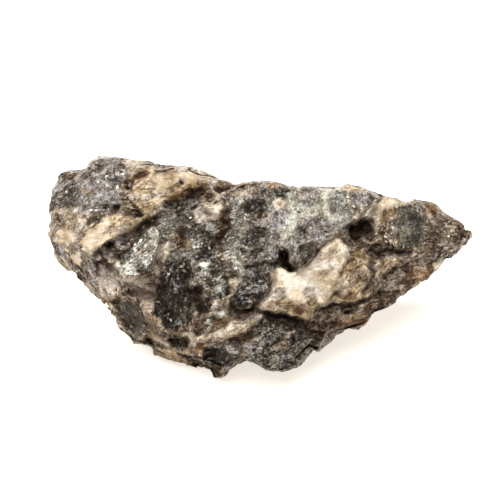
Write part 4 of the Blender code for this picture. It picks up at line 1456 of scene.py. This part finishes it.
def rough_stone():
    """The stone as its solid has it, with finer faces."""
    mesh = body_mesh()
    break_hidden_sides(mesh)
    stone = object_from(mesh, "ijolite_stone")
    even_out(stone, BODY_VOXEL)
    reshape(stone, raise_lumps)
    for grains in (BLOCKS, GRAINS):
        reshape(stone, break_grains, grains)
    reshape(stone, carve_zones)
    even_out(stone, FINE_VOXEL)
    keep_largest_shell(stone)
    return stone


def build_stone(settings):
    """The stone, with its own fine grain, in place of its solid."""
    stone = rough_stone()
    points, normals = read(stone)
    across, down = wander(*to_picture(points)[:2])
    depths = patch_depths(across, down)
    moved, hidden = break_crystals(points, normals)
    fields, tone = mineral_fields(normals, depths, hidden)
    rugged = ruggedness(fields)[:, None]
    fields.update(run_fields(across, down))
    write(stone, face_patches(moved, normals, depths))
    reshape(stone, open_cracks)
    for grains in FINE_GRAINS:
        points, normals = read(stone)
        write(stone, points + rugged * (break_grains(points, normals, grains) - points))
    points, _ = read(stone)
    points = hold_skyline(points)
    points[:, 2] = np.maximum(points[:, 2], 0)
    write(stone, points)
    paint_stone(stone, fields, tone)
    stone.data.materials.append(stone_finish(settings))
    stone.data.shade_smooth()
    return stone


def flake_finish(settings):
    """Thin plates of mica, each as light as the field on its points says."""
    finish = Finish("mica_flakes")
    place = finish.place()
    level = finish.field(FLAKE_LIGHT) + finish.noise(place, *FLAKE_NOISE).centred() * FLAKE_MOTTLE
    dark, _, light = FLAKE_COLOURS
    colours = (linear(dark), settings.flake_colour, linear(light))
    stops = list(zip(FLAKE_STOPS, colours))
    colour = finish.add("ShaderNodeValToRGB", {"stops": stops}, {"Fac": level})
    return finish.surface({
        "Base Color": colour, "Roughness": FLAKE_ROUGHNESS, "Specular IOR Level": FLAKE_SHEEN})


def flake_tree(material):
    """Geometry Nodes that scatter thin six-sided plates over a surface, each with a lean of its own."""
    group = bpy.data.node_groups.new("mica_flakes", "GeometryNodeTree")
    group.interface.new_socket("Surface", in_out="INPUT", socket_type="NodeSocketGeometry")
    for name in ("Size", "Thickness", "Count", "Lean"):
        group.interface.new_socket(name, in_out="INPUT", socket_type="NodeSocketFloat")
    group.interface.new_socket("Flakes", in_out="OUTPUT", socket_type="NodeSocketGeometry")
    tree = Tree(group)
    surface = tree.add("NodeGroupInput")
    cover, light = (tree.add("GeometryNodeInputNamedAttribute", {"data_type": "FLOAT"}, {"Name": name})
                    for name in (FLAKE_COVER, FLAKE_LIGHT))
    points = tree.add("GeometryNodeDistributePointsOnFaces", {"distribute_method": "RANDOM"}, {
        "Mesh": surface, "Density": cover * surface.output("Count"), "Seed": SEED})
    turned = points.output("Rotation")
    spread = tree.add("FunctionNodeRandomValue", {"data_type": "FLOAT_VECTOR"}, {
        "Min": (-1, -1, -math.pi), "Max": (1, 1, math.pi), "Seed": SEED})
    lean = tree.add("ShaderNodeCombineXYZ", {}, {
        "X": surface.output("Lean"), "Y": surface.output("Lean"), "Z": 1.0})
    turned = tree.add("FunctionNodeRotateRotation", {"rotation_space": "LOCAL"}, {
        "Rotation": turned, "Rotate By": tree.vector("MULTIPLY", spread, lean)})
    scale = tree.add("FunctionNodeRandomValue", {"data_type": "FLOAT_VECTOR"}, {
        "Min": (*FLAKE_SPREAD[0], 1), "Max": (*FLAKE_SPREAD[1], 1), "Seed": SEED + 1})
    lighter = tree.add("FunctionNodeRandomValue", {"data_type": "FLOAT"}, {"Seed": SEED + 2}, RANDOM_NUMBER)
    points = tree.add("GeometryNodeStoreNamedAttribute", {"data_type": "FLOAT"}, {
        "Geometry": points, "Name": FLAKE_LIGHT, "Value": lighter.centred() * FLAKE_VARIETY + light})
    plate = tree.add("GeometryNodeMeshCylinder", {}, {
        "Vertices": FLAKE_SIDES, "Radius": surface.output("Size"), "Depth": surface.output("Thickness")})
    flakes = tree.add("GeometryNodeInstanceOnPoints", {}, {
        "Points": points, "Instance": plate, "Rotation": turned, "Scale": scale})
    flakes = tree.add("GeometryNodeRealizeInstances", {}, {"Geometry": flakes})
    flakes = tree.add("GeometryNodeSetMaterial", {}, {"Geometry": flakes, "Material": material})
    tree.add("NodeGroupOutput", {}, {"Flakes": flakes})
    return group


def build_flakes(settings, stone):
    """Flakes on the stone, as a plain mesh of their own."""
    grower = add_object("flake_grower", stone.data)
    scatter = grower.modifiers.new("flakes", "NODES")
    scatter.node_group = flake_tree(flake_finish(settings))
    sizes = {"Size": settings.flake_size, "Thickness": settings.flake_thickness,
             "Count": settings.flake_count / MM ** 2, "Lean": settings.flake_lean}
    for socket in scatter.node_group.interface.items_tree:
        if socket.name in sizes:
            scatter[socket.identifier] = sizes[socket.name]
    graph = bpy.context.evaluated_depsgraph_get()
    data = bpy.data.meshes.new_from_object(grower.evaluated_get(graph))
    bpy.data.objects.remove(grower)
    stone_only = {*MINERALS, *RUN_FIELDS, "tone", "hollow", FLAKE_COVER}
    for name in [each.name for each in data.attributes]:
        if name in stone_only:
            data.attributes.remove(data.attributes[name])
    data.name = "mica_flakes"
    return add_object("mica_flakes", data)


def floor_finish(settings):
    """White paper that lets some light through."""
    finish = Finish("paper_floor")
    place = finish.add("ShaderNodeTexCoord", output="Object")
    tint = finish.noise(place, *PAPER_NOISE)
    colour = finish.mix(tint, (*settings.floor_colour, 1), (*linear(FLOOR_TINT), 1))
    return finish.surface({
        "Base Color": colour, "Roughness": FLOOR_ROUGHNESS, "Specular IOR Level": FLOOR_SHEEN,
        "Emission Color": (*linear(FLOOR_GLOW), 1), "Emission Strength": settings.floor_glow})


def build_floor(settings):
    mesh = bmesh.new()
    bmesh.ops.create_circle(mesh, cap_ends=True, segments=FLOOR_SIDES, radius=FLOOR_RADIUS)
    floor = object_from(mesh, "floor")
    floor.data.transform(Matrix.Translation((0, 0, FLOOR_DROP)))
    floor.data.materials.append(floor_finish(settings))


def aim(thing, point):
    """Turns a lamp or a camera to look at a point."""
    thing.rotation_mode = "QUATERNION"
    thing.rotation_quaternion = (Vector(point) - thing.location).to_track_quat("-Z", "Y")


def build_lights(settings):
    for name, place, size, power in LIGHTS:
        data = bpy.data.lights.new(name, "AREA")
        data.shape = "DISK"
        data.size = size
        data.energy = power * settings.light_level
        lamp = add_object(name, data)
        lamp.location = place
        aim(lamp, (0, 0, SIGHT_HEIGHT * MM))
    world = bpy.data.worlds.new("studio")
    world.use_nodes = True
    sky = world.node_tree.nodes["Background"]
    sky.inputs["Color"].default_value = (*WORLD_COLOUR, 1)
    sky.inputs["Strength"].default_value = settings.world_level
    bpy.context.scene.world = world


def build_camera():
    """A camera that shows the stone where the picture has it, in plain display colours."""
    data = bpy.data.cameras.new("photo_view")
    camera = add_object("photo_view", data)
    data.sensor_width = SENSOR
    data.lens = SENSOR * VIEW_DISTANCE / (PICTURE * STEP)
    data.shift_x = (PICTURE / 2 - MIDDLE[0]) / PICTURE
    data.shift_y = (MIDDLE[1] - PICTURE / 2) / PICTURE
    data.clip_start = VIEW_DISTANCE * MM / CLIP_PART
    camera.location = (SIGHT_POINT + VIEW_DISTANCE * NEAR) * MM
    aim(camera, SIGHT_POINT * MM)
    bpy.context.scene.camera = camera
    bpy.context.scene.view_settings.view_transform = "Standard"


def colour_choice(name, text, colour):
    return FloatVectorProperty(
        name=name, description=text, subtype="COLOR", size=3, min=0.0, max=1.0, default=linear(colour))


def mineral_choice(name, text):
    return colour_choice(name.capitalize(), text, MINERALS[name].middle)


class IjoliteSettings(PropertyGroup):
    cream_colour: mineral_choice("cream", "Middle colour of the palest grains")
    beige_colour: mineral_choice("beige", "Middle colour of the pale grains")
    tan_colour: mineral_choice("tan", "Middle colour of the honey-brown grains")
    green_colour: mineral_choice("green", "Middle colour of the grey-green crystals")
    silver_colour: mineral_choice("silver", "Middle colour of the shining flakes")
    mica_colour: mineral_choice("mica", "Middle colour of the dark mica")
    rust_colour: mineral_choice("rust", "Middle colour of the rusty stains")
    flake_colour: colour_choice("Small flakes", "Middle colour of the small flakes", FLAKE_COLOURS[1])
    flake_size: FloatProperty(
        name="Flake size", description="Radius of a small flake", default=0.15 * MM, min=0.0,
        subtype="DISTANCE", unit="LENGTH", precision=6)
    flake_thickness: FloatProperty(
        name="Flake thickness", description="Thickness of a small flake", default=0.03 * MM, min=0.0,
        subtype="DISTANCE", unit="LENGTH", precision=6)
    flake_count: FloatProperty(
        name="Flakes", description="Small flakes on each square millimetre where they are thickest",
        default=7.0, min=0.0)
    flake_lean: FloatProperty(
        name="Flake lean", description="How far a small flake leans off the surface at most",
        default=math.radians(20), min=0.0, max=math.radians(90), subtype="ANGLE", unit="ROTATION")
    floor_colour: colour_choice("Paper", "Colour of the floor", FLOOR_COLOUR)
    floor_glow: FloatProperty(
        name="Paper glow", description="How much light comes through the floor",
        default=FLOOR_GLOW_LEVEL, min=0.0)
    light_level: FloatProperty(
        name="Light", description="Power of the lamps, as a share of their own", default=1.0, min=0.0)
    world_level: FloatProperty(
        name="Surroundings", description="Brightness of the white surroundings", default=0.5, min=0.0)


class IJOLITE_OT_stone(Operator):
    """Build the stone with its fine grain and its minerals"""

    bl_idname = "ijolite.stone"
    bl_label = "Build stone"

    def execute(self, context):
        stone = build_stone(context.scene.ijolite)
        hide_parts(NODE)
        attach(stone, "root")
        return {"FINISHED"}


class IJOLITE_OT_flakes(Operator):
    """Grow small mica flakes on the stone"""

    bl_idname = "ijolite.flakes"
    bl_label = "Grow flakes"

    def execute(self, context):
        flakes = build_flakes(context.scene.ijolite, bpy.data.objects["ijolite_stone"])
        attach(flakes, "root")
        return {"FINISHED"}


class IJOLITE_OT_stage(Operator):
    """Set the floor, the lamps and the camera around the stone"""

    bl_idname = "ijolite.stage"
    bl_label = "Set stage"

    def execute(self, context):
        build_floor(context.scene.ijolite)
        build_lights(context.scene.ijolite)
        build_camera()
        return {"FINISHED"}


class IJOLITE_PT_panel(Panel):
    bl_label = "Ijolite specimen"
    bl_idname = "IJOLITE_PT_panel"
    bl_space_type = "VIEW_3D"
    bl_region_type = "UI"
    bl_category = "Ijolite"

    def draw(self, context):
        settings = context.scene.ijolite
        for name in IjoliteSettings.__annotations__:
            self.layout.prop(settings, name)
        for step in STEPS:
            self.layout.operator(step.bl_idname)


STEPS = (IJOLITE_OT_stone, IJOLITE_OT_flakes, IJOLITE_OT_stage)
CLASSES = (IjoliteSettings, *STEPS, IJOLITE_PT_panel)


def register():
    for each in CLASSES:
        bpy.utils.register_class(each)
    bpy.types.Scene.ijolite = PointerProperty(type=IjoliteSettings)


def unregister():
    del bpy.types.Scene.ijolite
    for each in reversed(CLASSES):
        bpy.utils.unregister_class(each)


def main():
    register()
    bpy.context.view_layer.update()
    bpy.ops.ijolite.stone()
    bpy.ops.ijolite.flakes()
    bpy.ops.ijolite.stage()


if __name__ == "__main__":
    main()
